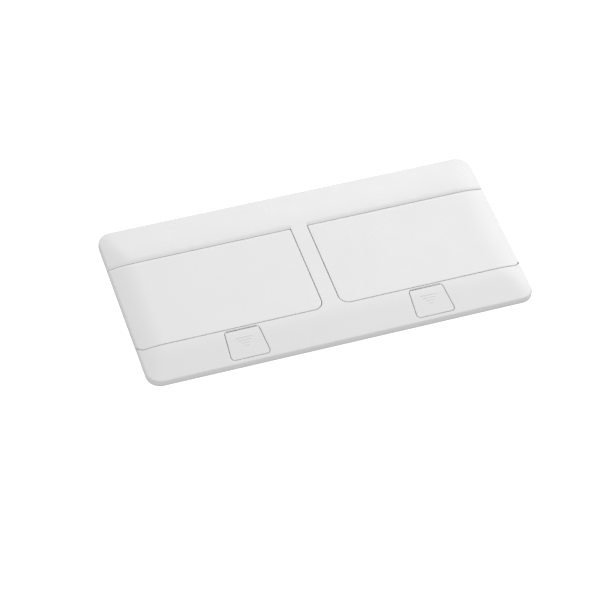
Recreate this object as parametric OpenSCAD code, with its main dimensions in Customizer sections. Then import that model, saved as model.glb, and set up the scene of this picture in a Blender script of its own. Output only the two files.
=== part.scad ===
// Pop-up desk power unit: a flat cover plate let into a desk top, with two
// lids hinged at the back. Each lid carries a pod with two earthed sockets.
// A push key in the front rail draws a latch, and the pod swings up out of
// the back box against a geared damper.
//
// Millimetres. The origin is the centre of the opening, on the desk surface.
// +X runs to the right, +Y to the back and +Z up.

/* [Cover plate] */
// Length of the cover plate
plate_l = 244; // [243:0.5:248]
// Depth of the cover plate
plate_w = 122; // [121:0.5:126]
// Height of the flat top above the desk
plate_h = 5.4; // [5.3:0.1:5.8]
// Corner radius of the plate, seen from above
corner_r = 9; // [7:0.5:11]
// Straight height of the rim
rim_h = 2.4; // [2.2:0.1:2.6]
// Rounding of the rim's top edge
rim_r = 1.2; // [0.8:0.1:1.4]
// Wall thickness of the cover plate
skin = 1.6; // [1.4:0.1:1.7]
// Width of the bar between the two lids
bar_w = 10.4; // [10.2:0.1:10.8]
// Visible gap round each lid
seam = 0.4; // [0.4:0.05:0.6]

/* [Lids] */
// Front seam, measured forward from the centre
front_seam = 34.9; // [34.8:0.05:35]
// Front face of the back rail
back_face = 32.75; // [32.7:0.05:33.2]
// Thickness of the lid's skin
lid_t = 2.2; // [1.8:0.1:2.3]
// Corner radius at the lid's inner front corner
lid_inner_r = 6; // [4:0.5:8]
// Corner radius at the lid's outer front corner
lid_outer_r = 5; // [3:0.5:6]

/* [Hinge] */
// Hinge axis behind the centre
hinge_y = 29.5; // [29.4:0.05:29.6]
// Hinge axis above the desk
hinge_z = 2.5; // [2.45:0.05:2.5]
// Radius of the lid's rounded rear edge about the hinge axis
nose_r = 2.9; // [2.8:0.05:2.9]
// Radius of the hinge pin
hinge_pin_r = 1; // [0.8:0.05:1.1]
// Opening angle of a pod
open_a = 54; // [40:1:54]

/* [Pods] */
// Radius that every part of a pod stays inside, below the lid
pod_r = 63.2; // [62.8:0.1:63.2]
// Tilt of the socket face below the horizontal, with the lid closed
face_a = 26; // [25.5:0.5:26.5]
// Half of the angle that the socket face spans at the hinge
half_a = 24; // [24:0.1:24.3]
// Thickness of the pod's walls
pod_wall = 1.6; // [1.2:0.1:1.6]

/* [Sockets] */
// Width and height of one socket
module_s = 45; // [45:45]
// Radius of a socket's well
well_r = 19.5; // [19:0.1:19.6]
// Depth of a socket's well
well_d = 17.5; // [17:0.1:17.5]
// Radius of a pin hole
pin_hole_r = 2.5; // [2.2:0.05:2.6]
// Distance between the two pin holes
pin_pitch = 19; // [19:19]
// Travel of the shutter behind the pin holes
shutter_travel = 5.6; // [5.4:0.1:5.7]

/* [Keys and latches] */
// Distance of each key and pod from the centre
key_x = 58.4; // [58:0.1:59]
// Width of a key at its back edge
key_back_w = 21; // [20:0.5:22]
// Width of a key at its front edge
key_front_w = 24.2; // [23:0.1:24.2]
// Length of a key from back to front
key_l = 21; // [20.5:0.5:21]
// Corner radius of a key
key_r = 2.2; // [1:0.1:3]
// Gap round a key
key_gap = 0.35; // [0.25:0.05:0.4]
// Angle that a key tips through
key_a = 6; // [4:0.5:6]
// Radius of a key's pivot pin
key_pin_r = 0.5; // [0.4:0.05:0.55]

/* [Damper gears] */
// Gear module
gear_m = 0.8; // [0.8:0.8]
// Teeth on the full circle of the sector
sector_n = 60; // [60:60]
// Teeth on the damper's pinion
pinion_n = 12; // [12:12]
// Radius of the damper's housing
damper_r = 8; // [7:0.5:8]

/* [Back box] */
// Length of the back box
box_l = 218.2; // [218:0.1:219]
// Depth of the back box from front to back
box_w = 106; // [105.5:0.1:106.5]
// How far the box hangs below the desk surface
box_d = 52; // [50:1:60]
// Wall thickness of the box
box_t = 1.5; // [1.2:0.1:1.8]
// Length of the cut-out in the desk
cutout_l = 230; // [230:0.5:231]
// Depth of the cut-out in the desk
cutout_w = 108; // [108:0.1:109]
// Radius of the cable entry
cable_r = 4.5; // [3.5:0.1:5]

/* [Desk clamps] */
// Thickness of desk that the clamps are set to
desk_t = 18; // [12:1:26]
// How far a clamp reaches out under the desk
clamp_reach = 15; // [10:1:20]

/* [Hidden] */

white = [0.93, 0.93, 0.92];
module_white = [0.9, 0.9, 0.88];
dark = [0.2, 0.21, 0.22];
steel = [0.72, 0.73, 0.75];
brass = [0.78, 0.66, 0.38];
rubber = [0.12, 0.12, 0.12];

half_l = plate_l / 2;
half_w = plate_w / 2;
fit = 0.05;          // radial clearance of a running pin
overcut = 1;         // how far a cutting shape runs past a face

// Form of the cover plate: flat in the middle, rolling off at the two ends
// and sloping gently down over the front and back rails.
flat_x = 102;
roll_r = 100;
front_flat = 35;
front_blend = 8;
front_slope = 4.5;
back_flat = 34;
back_blend = 12;
back_slope = 4.6;
rim_in = 14;         // slope of the corners above the rim's rounding

function end_drop(x) =
    abs(x) <= flat_x ? 0 : roll_r - sqrt(pow(roll_r, 2) - pow(abs(x) - flat_x, 2));
function slope_drop(d, blend, slope) =
    d <= 0 ? 0 : d < blend ? d * d * tan(slope) / (2 * blend) : (d - blend / 2) * tan(slope);
function rail_drop(y) =
    y < 0 ? slope_drop(-y - front_flat, front_blend, front_slope)
          : slope_drop(y - back_flat, back_blend, back_slope);
function rail_z(y) = plate_h - rail_drop(y);

// Heights of the parts that rest on the desk
gasket_t = 0.8;
flange_t = 1.2;
flange_z = gasket_t + flange_t;
strip_h = 1.2;       // strip of the cover that passes under the lids' ends
rim_side = 2.2;      // thickness of the cover's rim at its two ends

// Lids
lid_in = bar_w / 2 + seam;
lid_front = -front_seam + seam / 2;
window_front = -front_seam - seam / 2;
lid_under = plate_h - lid_t;
under_share = 0.5;   // how much of the ends' roll-off the lid's underside follows
overhang_x = 106.8;  // the lid is a bare skin past this, over the desk
relief = 1.5;        // room under the rear edge of that skin as it turns

// Pods
pod_in = key_x - 48;
pod_out = key_x + 48;
face_d = pod_r * cos(half_a);
face_h = 2 * pod_r * sin(half_a);
carrier_t = 1.8;
pod_depth = 36;      // depth of the pod behind its socket face
module_drop = 1;
module_proud = 0.36;
module_xs = [key_x - module_s / 2, key_x + module_s / 2];
tab_top = 1.2;       // top of the tabs that the lid is screwed to
tab_ys = [14, -18];
tab_xs = [pod_in + 5.1, pod_out - 5.1];

// Socket, measured back from its front face
cover_t = 2;
tube_t = 1.2;
floor_t = 1.6;
shutter_t = 1.6;
shutter_gap = 2.2;
shutter_w = 12;
base_z = -(well_d + floor_t + shutter_gap);
base_t = 12;
base_l = 38;
base_h = 24;
clip_w = 5;
clip_z = -17;

// Keys
key_back = -36.3;
key_t = 1.8;
key_pivot_y = -56;
key_pivot_z = 3;
key_boss_r = 0.88;
key_pin_l = 29;
guide_floor = -3.2;
guide_l = 15.3;      // half width of the latch guide
latch_w = 10;
latch_low = guide_floor + 0.1;
latch_top = -0.9;
latch_tip = hinge_y - pod_r - 0.25;
finger_w = 5;
finger_line = -42.2; // y + z along the front of the key's slanted finger
finger_t = 2.2;
spring_x = 9.3;
spring_y = -45;
spring_r = 1.4;
spring_wire = 0.25;
spring_turns = 6;

// Gears
sector_pr = gear_m * sector_n / 2;
pinion_pr = gear_m * pinion_n / 2;
pinion_dir = 255;    // direction from the hinge axis to the pinion, in the YZ plane
pinion_y = hinge_y + (sector_pr + pinion_pr) * cos(pinion_dir);
pinion_z = hinge_z + (sector_pr + pinion_pr) * sin(pinion_dir);
gear_x0 = 7.2;
gear_x1 = 10.2;
web_t = 0.75;        // half thickness of the middle web

// Back box
grommet_x = 60;
grommet_z = -38;
box_screw_x = 100;
box_screw_y = 46.5;
cover_screws_at = [[30, 46.6], [92, 42], [88, -46.6], [26, -47]];
clamp_x = 112;
clamp_w = 18;
clamp_top = -desk_t - 0.4;
clamp_h = 11;
screw_r = 1.5;

// ---------- Helpers ----------

module on_side(side) {
    if (side < 0) mirror([1, 0, 0]) children();
    else children();
}

// Extrudes a drawing made in the YZ plane from x0 to x1
module along_x(x0, x1) {
    translate([x0, 0, 0]) rotate([90, 0, 90]) linear_extrude(height = x1 - x0) children();
}

module rod_x(x0, x1, r, y = 0, z = 0) {
    translate([x0, y, z]) rotate([0, 90, 0]) cylinder(h = x1 - x0, r = r, $fn = 48);
}

module slab(low, high) {
    translate(low) cube(high - low);
}

// One rounded corner b of an outline, between its neighbours a and c
function corner(a, b, c, r) =
    r <= 0 ? [b] :
    let (u = (a - b) / norm(a - b), v = (c - b) / norm(c - b),
         half = acos(u * v) / 2,
         middle = b + (u + v) / norm(u + v) * r / sin(half),
         from = b + u * r / tan(half) - middle,
         to = b + v * r / tan(half) - middle,
         a0 = atan2(from[1], from[0]),
         turn = (atan2(to[1], to[0]) - a0 + 900) % 360 - 180)
    [for (i = [0:6]) middle + r * [cos(a0 + turn * i / 6), sin(a0 + turn * i / 6)]];

function rounded(points, radii) =
    let (n = len(points))
    [for (i = [0:n - 1]) each corner(points[(i + n - 1) % n], points[i],
                                     points[(i + 1) % n], radii[i])];

function rectangle(x0, y0, x1, y1) = [[x0, y0], [x1, y0], [x1, y1], [x0, y1]];

function key_outline(gap) =
    let (back = key_back + gap, front = key_back - key_l - gap)
    rounded([[-key_back_w / 2 - gap, back], [-key_front_w / 2 - gap, front],
             [key_front_w / 2 + gap, front], [key_back_w / 2 + gap, back]],
            [for (i = [0:3]) key_r + gap]);

function involute(r, base) = tan(acos(base / r)) * 180 / PI - acos(base / r);

// Points of one gear tooth centred on direction a, thinned for running play
function tooth(a, teeth, root, tip) =
    let (pitch = gear_m * teeth / 2, base = pitch * cos(20), play = 4 / pitch,
         half = 90 / teeth - play + involute(pitch, base),
         low = max(root, base),
         flank = [for (i = [0:3]) let (r = low + (tip - low) * i / 3) [r, half - involute(r, base)]])
    concat([[root, flank[0][1]]], flank,
           [for (i = [3:-1:0]) [flank[i][0], -flank[i][1]]], [[root, -flank[0][1]]]);

function turned(points, a) =
    [for (p = points) [p[0] * cos(a - p[1]), p[0] * sin(a - p[1])]];

// ---------- Form of the plate ----------

tray_points = concat(
    [[0, 0], [corner_r, 0]],
    [for (a = [0:13:78]) [corner_r - rim_r + rim_r * cos(a), rim_h + rim_r * sin(a)]],
    [[0, rim_h + rim_r + corner_r * tan(rim_in)]]);

module tray() {
    hull() for (x = [-1, 1], y = [-1, 1])
        translate([x * (half_l - corner_r), y * (half_w - corner_r), 0])
            rotate_extrude($fn = 48) polygon(tray_points);
}

module under_ends(lower) {
    reach = half_l + 4;
    steps = 9;
    side = [for (i = [0:steps]) let (x = flat_x + (reach - flat_x) * i / steps)
            [x, plate_h - end_drop(x) - lower]];
    outline = concat(side, [[reach, -overcut], [-reach, -overcut]],
                     [for (i = [steps:-1:0]) [-side[i][0], side[i][1]]]);
    rotate([90, 0, 0]) linear_extrude(height = plate_w + 10, center = true) polygon(outline);
}

module under_rails(lower) {
    reach = half_w + 4;
    front = [for (i = [0:4]) -front_flat - front_blend * i / 4];
    back = [for (i = [0:4]) back_flat + back_blend * i / 4];
    ys = concat([-reach], [for (i = [4:-1:0]) front[i]], back, [reach]);
    outline = concat([for (y = ys) [y, rail_z(y) - lower]], [[reach, -overcut], [-reach, -overcut]]);
    along_x(-half_l - 5, half_l + 5) polygon(outline);
}

module plate_form() {
    intersection() {
        tray();
        under_ends(0);
        under_rails(0);
    }
}

module plate_hollow() {
    r = corner_r - skin;
    x = half_l - rim_side;
    y = half_w - skin;
    intersection() {
        translate([0, 0, -overcut]) linear_extrude(height = plate_h + overcut)
            polygon(rounded(rectangle(-x, -y, x, y), [r, r, r, r]));
        under_ends(skin);
        under_rails(skin);
    }
}

// Outline of a lid's window in the cover, grown by a margin
function window_outline(margin) =
    rounded(rectangle(bar_w / 2 - margin, window_front - margin,
                      half_l + seam + margin, back_face + margin),
            [lid_inner_r + seam + margin, lid_outer_r + seam + margin, 0, 0.8 + margin]);

module window(margin, z0, z1) {
    translate([0, 0, z0]) linear_extrude(height = z1 - z0) polygon(window_outline(margin));
}

// Everything that hangs under the skin of the cover, before it is trimmed to the form
module cover_inner() {
    wall = 1.4;
    below = flange_z + fit;
    for (side = [-1, 1]) on_side(side) {
        difference() {
            window(wall, below, plate_h);
            window(0, below - overcut, plate_h + overcut);
            slab([half_l - 4, -half_w, 0], [half_l + 4, half_w, plate_h + overcut]);
        }
        for (at = cover_screws_at)
            translate([at[0], at[1], flange_z]) cylinder(h = plate_h - flange_z, r = 3, $fn = 32);
        for (x = [-1, 1])
            slab([key_x + x * 14.1 - 1.5, key_pivot_y - 1.7, below],
                 [key_x + x * 14.1 + 1.5, key_pivot_y + 1.7, plate_h]);
        for (x = [14, 38, 70, 84, 100])
            slab([x - 0.6, back_face, 2.6], [x + 0.6, half_w - 1, plate_h]);
        for (x = [14, 36, 80, 98])
            slab([x - 0.6, -half_w + 1, 2.6], [x + 0.6, window_front, plate_h]);
    }
}

module cover_frame() {
    color(white) difference() {
        union() {
            difference() {
                plate_form();
                plate_hollow();
            }
            intersection() {
                under_ends(skin / 2);
                under_rails(skin / 2);
                cover_inner();
            }
        }
        for (side = [-1, 1]) on_side(side) {
            window(0, strip_h, plate_h + overcut);
            translate([key_x, 0, flange_z - overcut]) linear_extrude(height = plate_h)
                polygon(key_outline(key_gap));
            for (at = cover_screws_at)
                translate([at[0], at[1], flange_z - overcut])
                    cylinder(h = 1.8 + overcut, r = 1.05, $fn = 24);
            rod_x(key_x - key_pin_l / 2 - 0.2, key_x + key_pin_l / 2 + 0.2,
                  key_pin_r + fit, key_pivot_y, key_pivot_z);
            // Pocket over the inner bearing, and the end of the hinge line
            slab([1.6, hinge_y - 2.3, 0], [bar_w / 2 + overcut, hinge_y + 2.3, 4.45]);
            slab([half_l - 4, hinge_y - 2, 0.5], [half_l + overcut, back_face, plate_h]);
        }
    }
}

// ---------- Gasket, chassis and back box ----------

module flange_gasket() {
    color(rubber) linear_extrude(height = gasket_t) difference() {
        polygon(rounded(rectangle(-119, -58.5, 119, 58.5), [7, 7, 7, 7]));
        polygon(rounded(rectangle(-cutout_l / 2, -cutout_w / 2, cutout_l / 2, cutout_w / 2),
                        [5, 5, 5, 5]));
    }
}

// Guide for one latch, hung under the flange inside the key's opening
module latch_guide() {
    low = guide_floor - 1.2;
    front = -box_w / 2 + box_t + 0.2;
    back = window_front - 1.3;
    translate([key_x, 0, 0]) {
        slab([-guide_l, front, low], [guide_l, back, guide_floor]);
        slab([-guide_l, front, low], [guide_l, front + 1, gasket_t]);
        for (x = [-1, 1]) {
            slab([x < 0 ? -guide_l : guide_l - 1.5, front, low],
                 [x < 0 ? -guide_l + 1.5 : guide_l, back, gasket_t]);
            slab([x < 0 ? -6.6 : latch_w / 2 + 0.15, front, low],
                 [x < 0 ? -latch_w / 2 - 0.15 : 6.6, back, 0.2]);
            slab([x < 0 ? -6.6 : 4, front, latch_top + 0.1], [x < 0 ? -4 : 6.6, back, 0.2]);
            translate([x * spring_x, spring_y, guide_floor - 0.5])
                cylinder(h = 1.7, r = 0.9, $fn = 24);
        }
    }
}

module chassis() {
    ear_r = hinge_pin_r + 0.8;
    color(dark) difference() {
        union() {
            difference() {
                translate([0, 0, gasket_t]) linear_extrude(height = flange_t)
                    polygon(rounded(rectangle(-119.4, -58.9, 119.4, 58.9), [7, 7, 7, 7]));
                for (side = [-1, 1]) on_side(side) {
                    slab([bar_w / 2 + 0.2, window_front + 0.2, 0],
                         [107, back_face + 0.2, plate_h]);
                    slab([key_x - 13.8, -box_w / 2, 0], [key_x + 13.8, window_front - 0.75, plate_h]);
                    // Room for the rear edge of the lid's overhanging end
                    slab([109.2, hinge_y - 1.7, 0], [120, back_face + 0.6, plate_h]);
                    slab([106, hinge_y + 1.2, 0], [120, back_face + 0.6, plate_h]);
                }
            }
            // Middle web with the dampers' seats, and the bearings each side of it
            along_x(-web_t, web_t)
                polygon([[8, 1], [8, -20], [14, -36], [32, -36], [42, -14], [42, 1]]);
            slab([-5, hinge_y - ear_r, -12], [5, hinge_y + ear_r, 1.2]);
            for (side = [-1, 1]) on_side(side) {
                slab([2.2, hinge_y - ear_r, 0], [5, hinge_y + ear_r, hinge_z]);
                rod_x(2.2, 5, ear_r, hinge_y, hinge_z);
                slab([107.2, hinge_y - 1.2, gasket_t], [109, hinge_y + 1.2, hinge_z]);
                intersection() {
                    rod_x(107.2, 109, ear_r, hinge_y, hinge_z);
                    slab([107, 0, gasket_t], [110, half_w, plate_h]);
                }
                latch_guide();
                // Thick seat for the head of the clamp screw
                translate([clamp_x, 0, -0.6]) cylinder(h = 1.6, r = 2.8, $fn = 32);
            }
        }
        for (side = [-1, 1]) on_side(side) {
            rod_x(2, 110, hinge_pin_r + fit, hinge_y, hinge_z);
            for (at = cover_screws_at)
                translate([at[0], at[1], 0]) cylinder(h = 3, r = 1.3, $fn = 24);
            for (y = [-1, 1]) translate([box_screw_x, y * box_screw_y, 0]) {
                cylinder(h = 3, r = 1.6, $fn = 24);
                translate([0, 0, flange_z - 1]) cylinder(h = 2, r = 2.9, $fn = 32);
            }
            translate([clamp_x, 0, -1]) cylinder(h = 4, r = screw_r + 0.1, $fn = 32);
            translate([clamp_x, 0, 0.4]) cylinder(h = 2, r = 2.55, $fn = 32);
        }
    }
}

module back_box() {
    x = box_l / 2;
    y = box_w / 2;
    color(dark) difference() {
        union() {
            difference() {
                translate([0, 0, -box_d]) linear_extrude(height = box_d + gasket_t)
                    polygon(rounded(rectangle(-x, -y, x, y), [4, 4, 4, 4]));
                translate([0, 0, -box_d + box_t]) linear_extrude(height = box_d + 2)
                    polygon(rounded(rectangle(-x + box_t, -y + box_t, x - box_t, y - box_t),
                                    [2.5, 2.5, 2.5, 2.5]));
            }
            for (side = [-1, 1]) on_side(side) {
                // Corner bosses for the screws from the flange
                for (f = [-1, 1]) {
                    translate([box_screw_x, f * box_screw_y, -12]) {
                        cylinder(h = 12 + gasket_t, r = 3.2, $fn = 32);
                        slab([-1.2, f < 0 ? -5.5 : 0, 0], [1.2, f < 0 ? 0 : 5.5, 12 + gasket_t]);
                    }
                }
                // Guide rails and foot bearing of the desk clamp
                for (f = [-1, 1])
                    slab([x - 0.5, f * (clamp_w / 2 + 1.1) - 0.8, -box_d + 3],
                         [x + 2.5, f * (clamp_w / 2 + 1.1) + 0.8, -3]);
                slab([x - 0.5, -3.5, -box_d + 1], [clamp_x + 3, 3.5, -box_d + 4]);
                // Ribs across the floor
                slab([35 - 0.6, -y + 1, -box_d + 1], [35 + 0.6, y - 1, -box_d + 3.5]);
                slab([80 - 0.6, -y + 1, -box_d + 1], [80 + 0.6, y - 1, -box_d + 3.5]);
            }
            // Seat of the terminal block
            slab([-24, 33, -box_d + 1], [24, 50, -box_d + 4]);
        }
        for (side = [-1, 1]) on_side(side) {
            translate([grommet_x, y - 4, grommet_z]) rotate([-90, 0, 0])
                cylinder(h = 8, r = 7, $fn = 48);
            translate([clamp_x, 0, -box_d]) cylinder(h = 6, r = screw_r + 0.1, $fn = 32);
            for (f = [-1, 1])
                translate([box_screw_x, f * box_screw_y, -8]) cylinder(h = 10, r = 1.25, $fn = 24);
        }
    }
}

module box_screws() {
    color(steel) for (x = [-1, 1], y = [-1, 1])
        translate([x * box_screw_x, y * box_screw_y, 0]) {
            translate([0, 0, flange_z - 1]) cylinder(h = 0.9, r = 2.7, $fn = 32);
            translate([0, 0, -7]) cylinder(h = 7 + flange_z - 0.5, r = 1.2, $fn = 24);
        }
}

module cover_screws() {
    color(steel) for (side = [-1, 1], at = cover_screws_at)
        translate([side * at[0], at[1], 0]) {
            translate([0, 0, gasket_t - 1.2]) cylinder(h = 1.2, r = 2.2, $fn = 32);
            cylinder(h = 3.7, r = 1, $fn = 24);
        }
}

module clamp_screws() {
    color(steel) for (side = [-1, 1]) translate([side * clamp_x, 0, 0]) difference() {
        union() {
            translate([0, 0, 0.4]) cylinder(h = 1.5, r = 2.5, $fn = 32);
            translate([0, 0, -box_d + 0.8]) cylinder(h = box_d, r = screw_r, $fn = 32);
        }
        translate([0, 0, 1]) rotate([0, 0, 45]) slab([-0.4, -3, 0], [0.4, 3, 2]);
        translate([0, 0, 1]) rotate([0, 0, -45]) slab([-0.4, -3, 0], [0.4, 3, 2]);
    }
}

terminal_xs = [-15, -9, -3, 3, 9, 15];

module terminal_block() {
    low = -box_d + 4;
    color(module_white) difference() {
        union() {
            slab([-20, 35, low], [20, 47, low + 8]);
            slab([-19, 37.5, low + 8], [19, 44.5, low + 12]);
        }
        for (x = terminal_xs) {
            translate([x, 41, low + 6]) cylinder(h = 8, r = 2, $fn = 24);
            translate([x, 33, low + 3.5]) rotate([-90, 0, 0]) cylinder(h = 16, r = 1.6, $fn = 24);
        }
    }
}

module terminal_screws() {
    low = -box_d + 4;
    color(brass) for (x = terminal_xs) translate([x, 41, low + 6]) difference() {
        cylinder(h = 4, r = 1.9, $fn = 24);
        slab([-2.5, -0.3, 3], [2.5, 0.3, 5]);
    }
}

module earth_stud() {
    color(brass) translate([48, 44, -box_d + box_t]) {
        cylinder(h = 2, r = 3.4, $fn = 6);
        cylinder(h = 9, r = 1.9, $fn = 24);
        translate([0, 0, 4]) cylinder(h = 2.4, r = 3.6, $fn = 6);
    }
}

module grommet(side) {
    inner = -box_t - 2;
    color(rubber) on_side(side) translate([grommet_x, box_w / 2, grommet_z]) rotate([-90, 0, 0])
        rotate_extrude($fn = 64) polygon([
            [cable_r, inner], [8.6, inner], [9, inner + 0.5], [9, -box_t], [7, -box_t],
            [7, 0], [9, 0], [8.6, 1], [cable_r, 1]]);
}

module hinge_pin(side) {
    color(steel) on_side(side) rod_x(2.2, 109, hinge_pin_r, hinge_y, hinge_z);
}

// ---------- Damper and gears ----------

module damper(side) {
    color(dark) on_side(side) difference() {
        union() {
            rod_x(web_t, 6.2, damper_r, pinion_y, pinion_z);
            slab([web_t, pinion_y - 10, pinion_z - 2], [2.2, pinion_y + 10, pinion_z + 2]);
        }
        rod_x(3, 7, 1.5 + fit, pinion_y, pinion_z);
    }
}

module pinion(side) {
    root = pinion_pr - gear_m;
    tip = pinion_pr + 0.7 * gear_m;
    step = 360 / pinion_n;
    color(module_white) on_side(side) translate([0, pinion_y, pinion_z]) {
        along_x(gear_x0, gear_x1) polygon([for (i = [0:pinion_n - 1])
            each turned(tooth(0, pinion_n, root, tip), pinion_dir - 180 + (i + 0.5) * step)]);
        rod_x(3.2, gear_x0 + 0.5, 1.5);
    }
}

module gear_sector(side) {
    root = sector_pr - 0.9 * gear_m;
    tip = sector_pr + 0.7 * gear_m;
    step = 360 / sector_n;
    first = -2;
    last = 10;
    a0 = pinion_dir + (first - 0.5) * step;
    a1 = pinion_dir + (last + 0.5) * step;
    arm = 208;
    inner = 3.6;
    outline = concat(
        [for (i = [0:4]) let (a = arm + (a0 - arm) * i / 4) (root - 1.5) * [cos(a), sin(a)]],
        [for (i = [first:last]) each turned(tooth(0, sector_n, root, tip), pinion_dir + i * step)],
        [root * [cos(a1), sin(a1)]],
        [for (i = [6:-1:0]) let (a = arm + (a1 - arm) * i / 6) inner * [cos(a), sin(a)]]);
    color(module_white) on_side(side) translate([0, hinge_y, hinge_z]) {
        difference() {
            along_x(gear_x0, gear_x1) polygon(outline);
            // Lightening slot concentric with the hinge
            rotate([90, 0, 90]) translate([0, 0, gear_x0 - overcut])
                rotate([0, 0, 264]) rotate_extrude(angle = 38, $fn = 72)
                    translate([11, 0]) square([7, 6]);
        }
        for (a = [214, 244]) along_x(gear_x1 - 0.5, pod_in + pod_wall)
            translate(15 * [cos(a), sin(a)]) circle(r = 1.8, $fn = 32);
    }
}

// ---------- Lids and pods ----------

module lid_section() {
    steps = 8;
    edge = half_l - rim_r;
    edge_z = plate_h - end_drop(edge) - rim_r;
    top = [for (i = [0:steps]) let (x = flat_x + (edge - flat_x) * i / steps)
           [x, plate_h - end_drop(x)]];
    rim = [for (a = [72:-18:0]) [edge + rim_r * cos(a), edge_z + rim_r * sin(a)]];
    under = [for (i = [steps:-1:0]) let (x = flat_x + (half_l - skin - flat_x) * i / steps)
             [x, lid_under - under_share * end_drop(x)]];
    polygon(concat([[lid_in, plate_h]], top, rim,
                   [[half_l, 1.6], [half_l - skin, 1.6]], under, [[lid_in, lid_under]]));
}

module lid_plan(x1) {
    translate([0, 0, -overcut]) linear_extrude(height = plate_h + 2 * overcut)
        polygon(rounded(rectangle(lid_in, lid_front, x1, hinge_y + 5),
                        [lid_inner_r, lid_outer_r, 0, 0]));
}

module lid_inner() {
    low = tab_top;
    rib_y = 6;
    // Rounded rear edge, solid between the bearings
    rod_x(lid_in, overhang_x, nose_r - 0.05, hinge_y, hinge_z);
    // Lip that hangs behind the front seam
    slab([pod_in + 3, lid_front + 0.25, 0.9], [pod_out - 3, lid_front + 1.65, lid_under + 0.4]);
    for (x = tab_xs, y = tab_ys)
        translate([x, y, low]) cylinder(h = lid_under - low + 0.4, r = 2.6, $fn = 32);
    for (y = [rib_y, 20]) slab([pod_in + 2.4, y - 0.6, low], [pod_out - 2.4, y + 0.6, lid_under + 0.4]);
    for (x = [key_x - 36, key_x - 12, key_x + 12, key_x + 36])
        slab([x - 0.6, rib_y, low], [x + 0.6, hinge_y - 2, lid_under + 0.4]);
}

module lid(side) {
    color(white) on_side(side) difference() {
        union() {
            intersection() {
                rotate([90, 0, 0]) linear_extrude(height = 2 * half_w, center = true) lid_section();
                lid_plan(half_l);
                along_x(0, half_l + overcut) union() {
                    translate([lid_front - overcut, -overcut])
                        square([hinge_y - lid_front + overcut, plate_h + 2 * overcut]);
                    translate([hinge_y, hinge_z]) circle(r = nose_r, $fn = 64);
                }
            }
            lid_inner();
        }
        rod_x(lid_in - overcut, 109.2, hinge_pin_r + fit, hinge_y, hinge_z);
        rod_x(106.9, 109.3, hinge_pin_r + 1, hinge_y, hinge_z);
        for (x = tab_xs, y = tab_ys) translate([x, y, 0]) cylinder(h = 4.3, r = 1.15, $fn = 24);
        translate([overhang_x, hinge_y, hinge_z]) rotate([open_a, 0, 0])
            translate([0, -20, -relief - 20]) cube([20, 40, 20]);
    }
}

// Puts a drawing or solid made on the socket face into the closed pod:
// x stays, y runs up the face and z points out of it
module on_face(x) {
    translate([x, hinge_y, hinge_z]) rotate([face_a, 0, 0])
        translate([0, -face_d, 0]) rotate([90, 0, 0]) children();
}

// A point given by its distance out towards the face and up along it, in the YZ plane
function pod_point(out, up) =
    [hinge_y - out * cos(face_a) - up * sin(face_a), hinge_z - out * sin(face_a) + up * cos(face_a)];

// Side view of the pod's shell, from its front edge round to its top
pod_back = hinge_y - 6;
pod_low = -face_h / 2;
pod_rear = face_d - pod_depth;

function pod_side() =
    let (front = pod_point(face_d - carrier_t, 0), top = lid_under - 0.1)
    [[front[0] - (top - front[1]) * tan(face_a), top], pod_point(face_d - carrier_t, pod_low),
     pod_point(pod_rear, pod_low), [pod_back, -6], [pod_back, top]];

// Side view of the hollow, which is open to the carrier in front and the lid above
function pod_hollow() =
    let (low = pod_low + pod_wall, back = pod_back - pod_wall)
    [[hinge_y - pod_r - 5, plate_h], pod_point(face_d + 5, low),
     pod_point(pod_rear + 0.6 * pod_wall, low), [back, -6],
     [back, tab_top], [hinge_y, tab_top], [hinge_y, plate_h]];

module pod_shell(side) {
    cable_w = 30;
    color(dark) on_side(side) difference() {
        union() {
            difference() {
                along_x(pod_in, pod_out) polygon(pod_side());
                along_x(pod_in + pod_wall, pod_out - pod_wall) polygon(pod_hollow());
            }
            for (x = [0, 1], y = tab_ys)
                slab([x == 0 ? pod_in + 1 : pod_out - 9, y - 3.2, 0],
                     [x == 0 ? pod_in + 9 : pod_out - 1, y + 3.2, tab_top]);
        }
        for (x = tab_xs, y = tab_ys) translate([x, y, -1]) cylinder(h = 3, r = 1.4, $fn = 24);
        // Way out for the leads, in the back wall
        slab([key_x - cable_w / 2, hinge_y - 22, -26], [key_x + cable_w / 2, hinge_y, -14]);
        // Holes that take the gear sector's pegs
        for (a = [214, 244])
            rod_x(pod_in - overcut, pod_in + pod_wall + overcut, 1.8 + fit,
                  hinge_y + 15 * cos(a), hinge_z + 15 * sin(a));
    }
}

module module_carrier(side) {
    w = 2 * module_s + 0.3;
    h = module_s + 0.3;
    color(module_white) on_side(side) on_face(key_x) difference() {
        union() {
            slab([-48, -face_h / 2, -carrier_t], [48, face_h / 2, 0]);
            slab([-w / 2 - 0.4, -h / 2 - module_drop - 0.4, -6.5],
                 [w / 2 + 0.4, h / 2 - module_drop + 0.4, -carrier_t + 0.5]);
        }
        slab([-w / 2, -h / 2 - module_drop, -8], [w / 2, h / 2 - module_drop, 2]);
    }
}

module lid_screws(side) {
    color(steel) on_side(side) for (x = tab_xs, y = tab_ys) translate([x, y, 0]) {
        translate([0, 0, -1.3]) cylinder(h = 1.3, r = 2.2, $fn = 32);
        translate([0, 0, -0.5]) cylinder(h = 4.6, r = 1.1, $fn = 24);
    }
}

// ---------- Sockets ----------

// Frame of one socket: x to the right, y up its face, z out of it from its front face
module in_socket(side, index) {
    on_side(side) on_face(module_xs[index]) translate([0, -module_drop, module_proud]) children();
}

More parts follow.
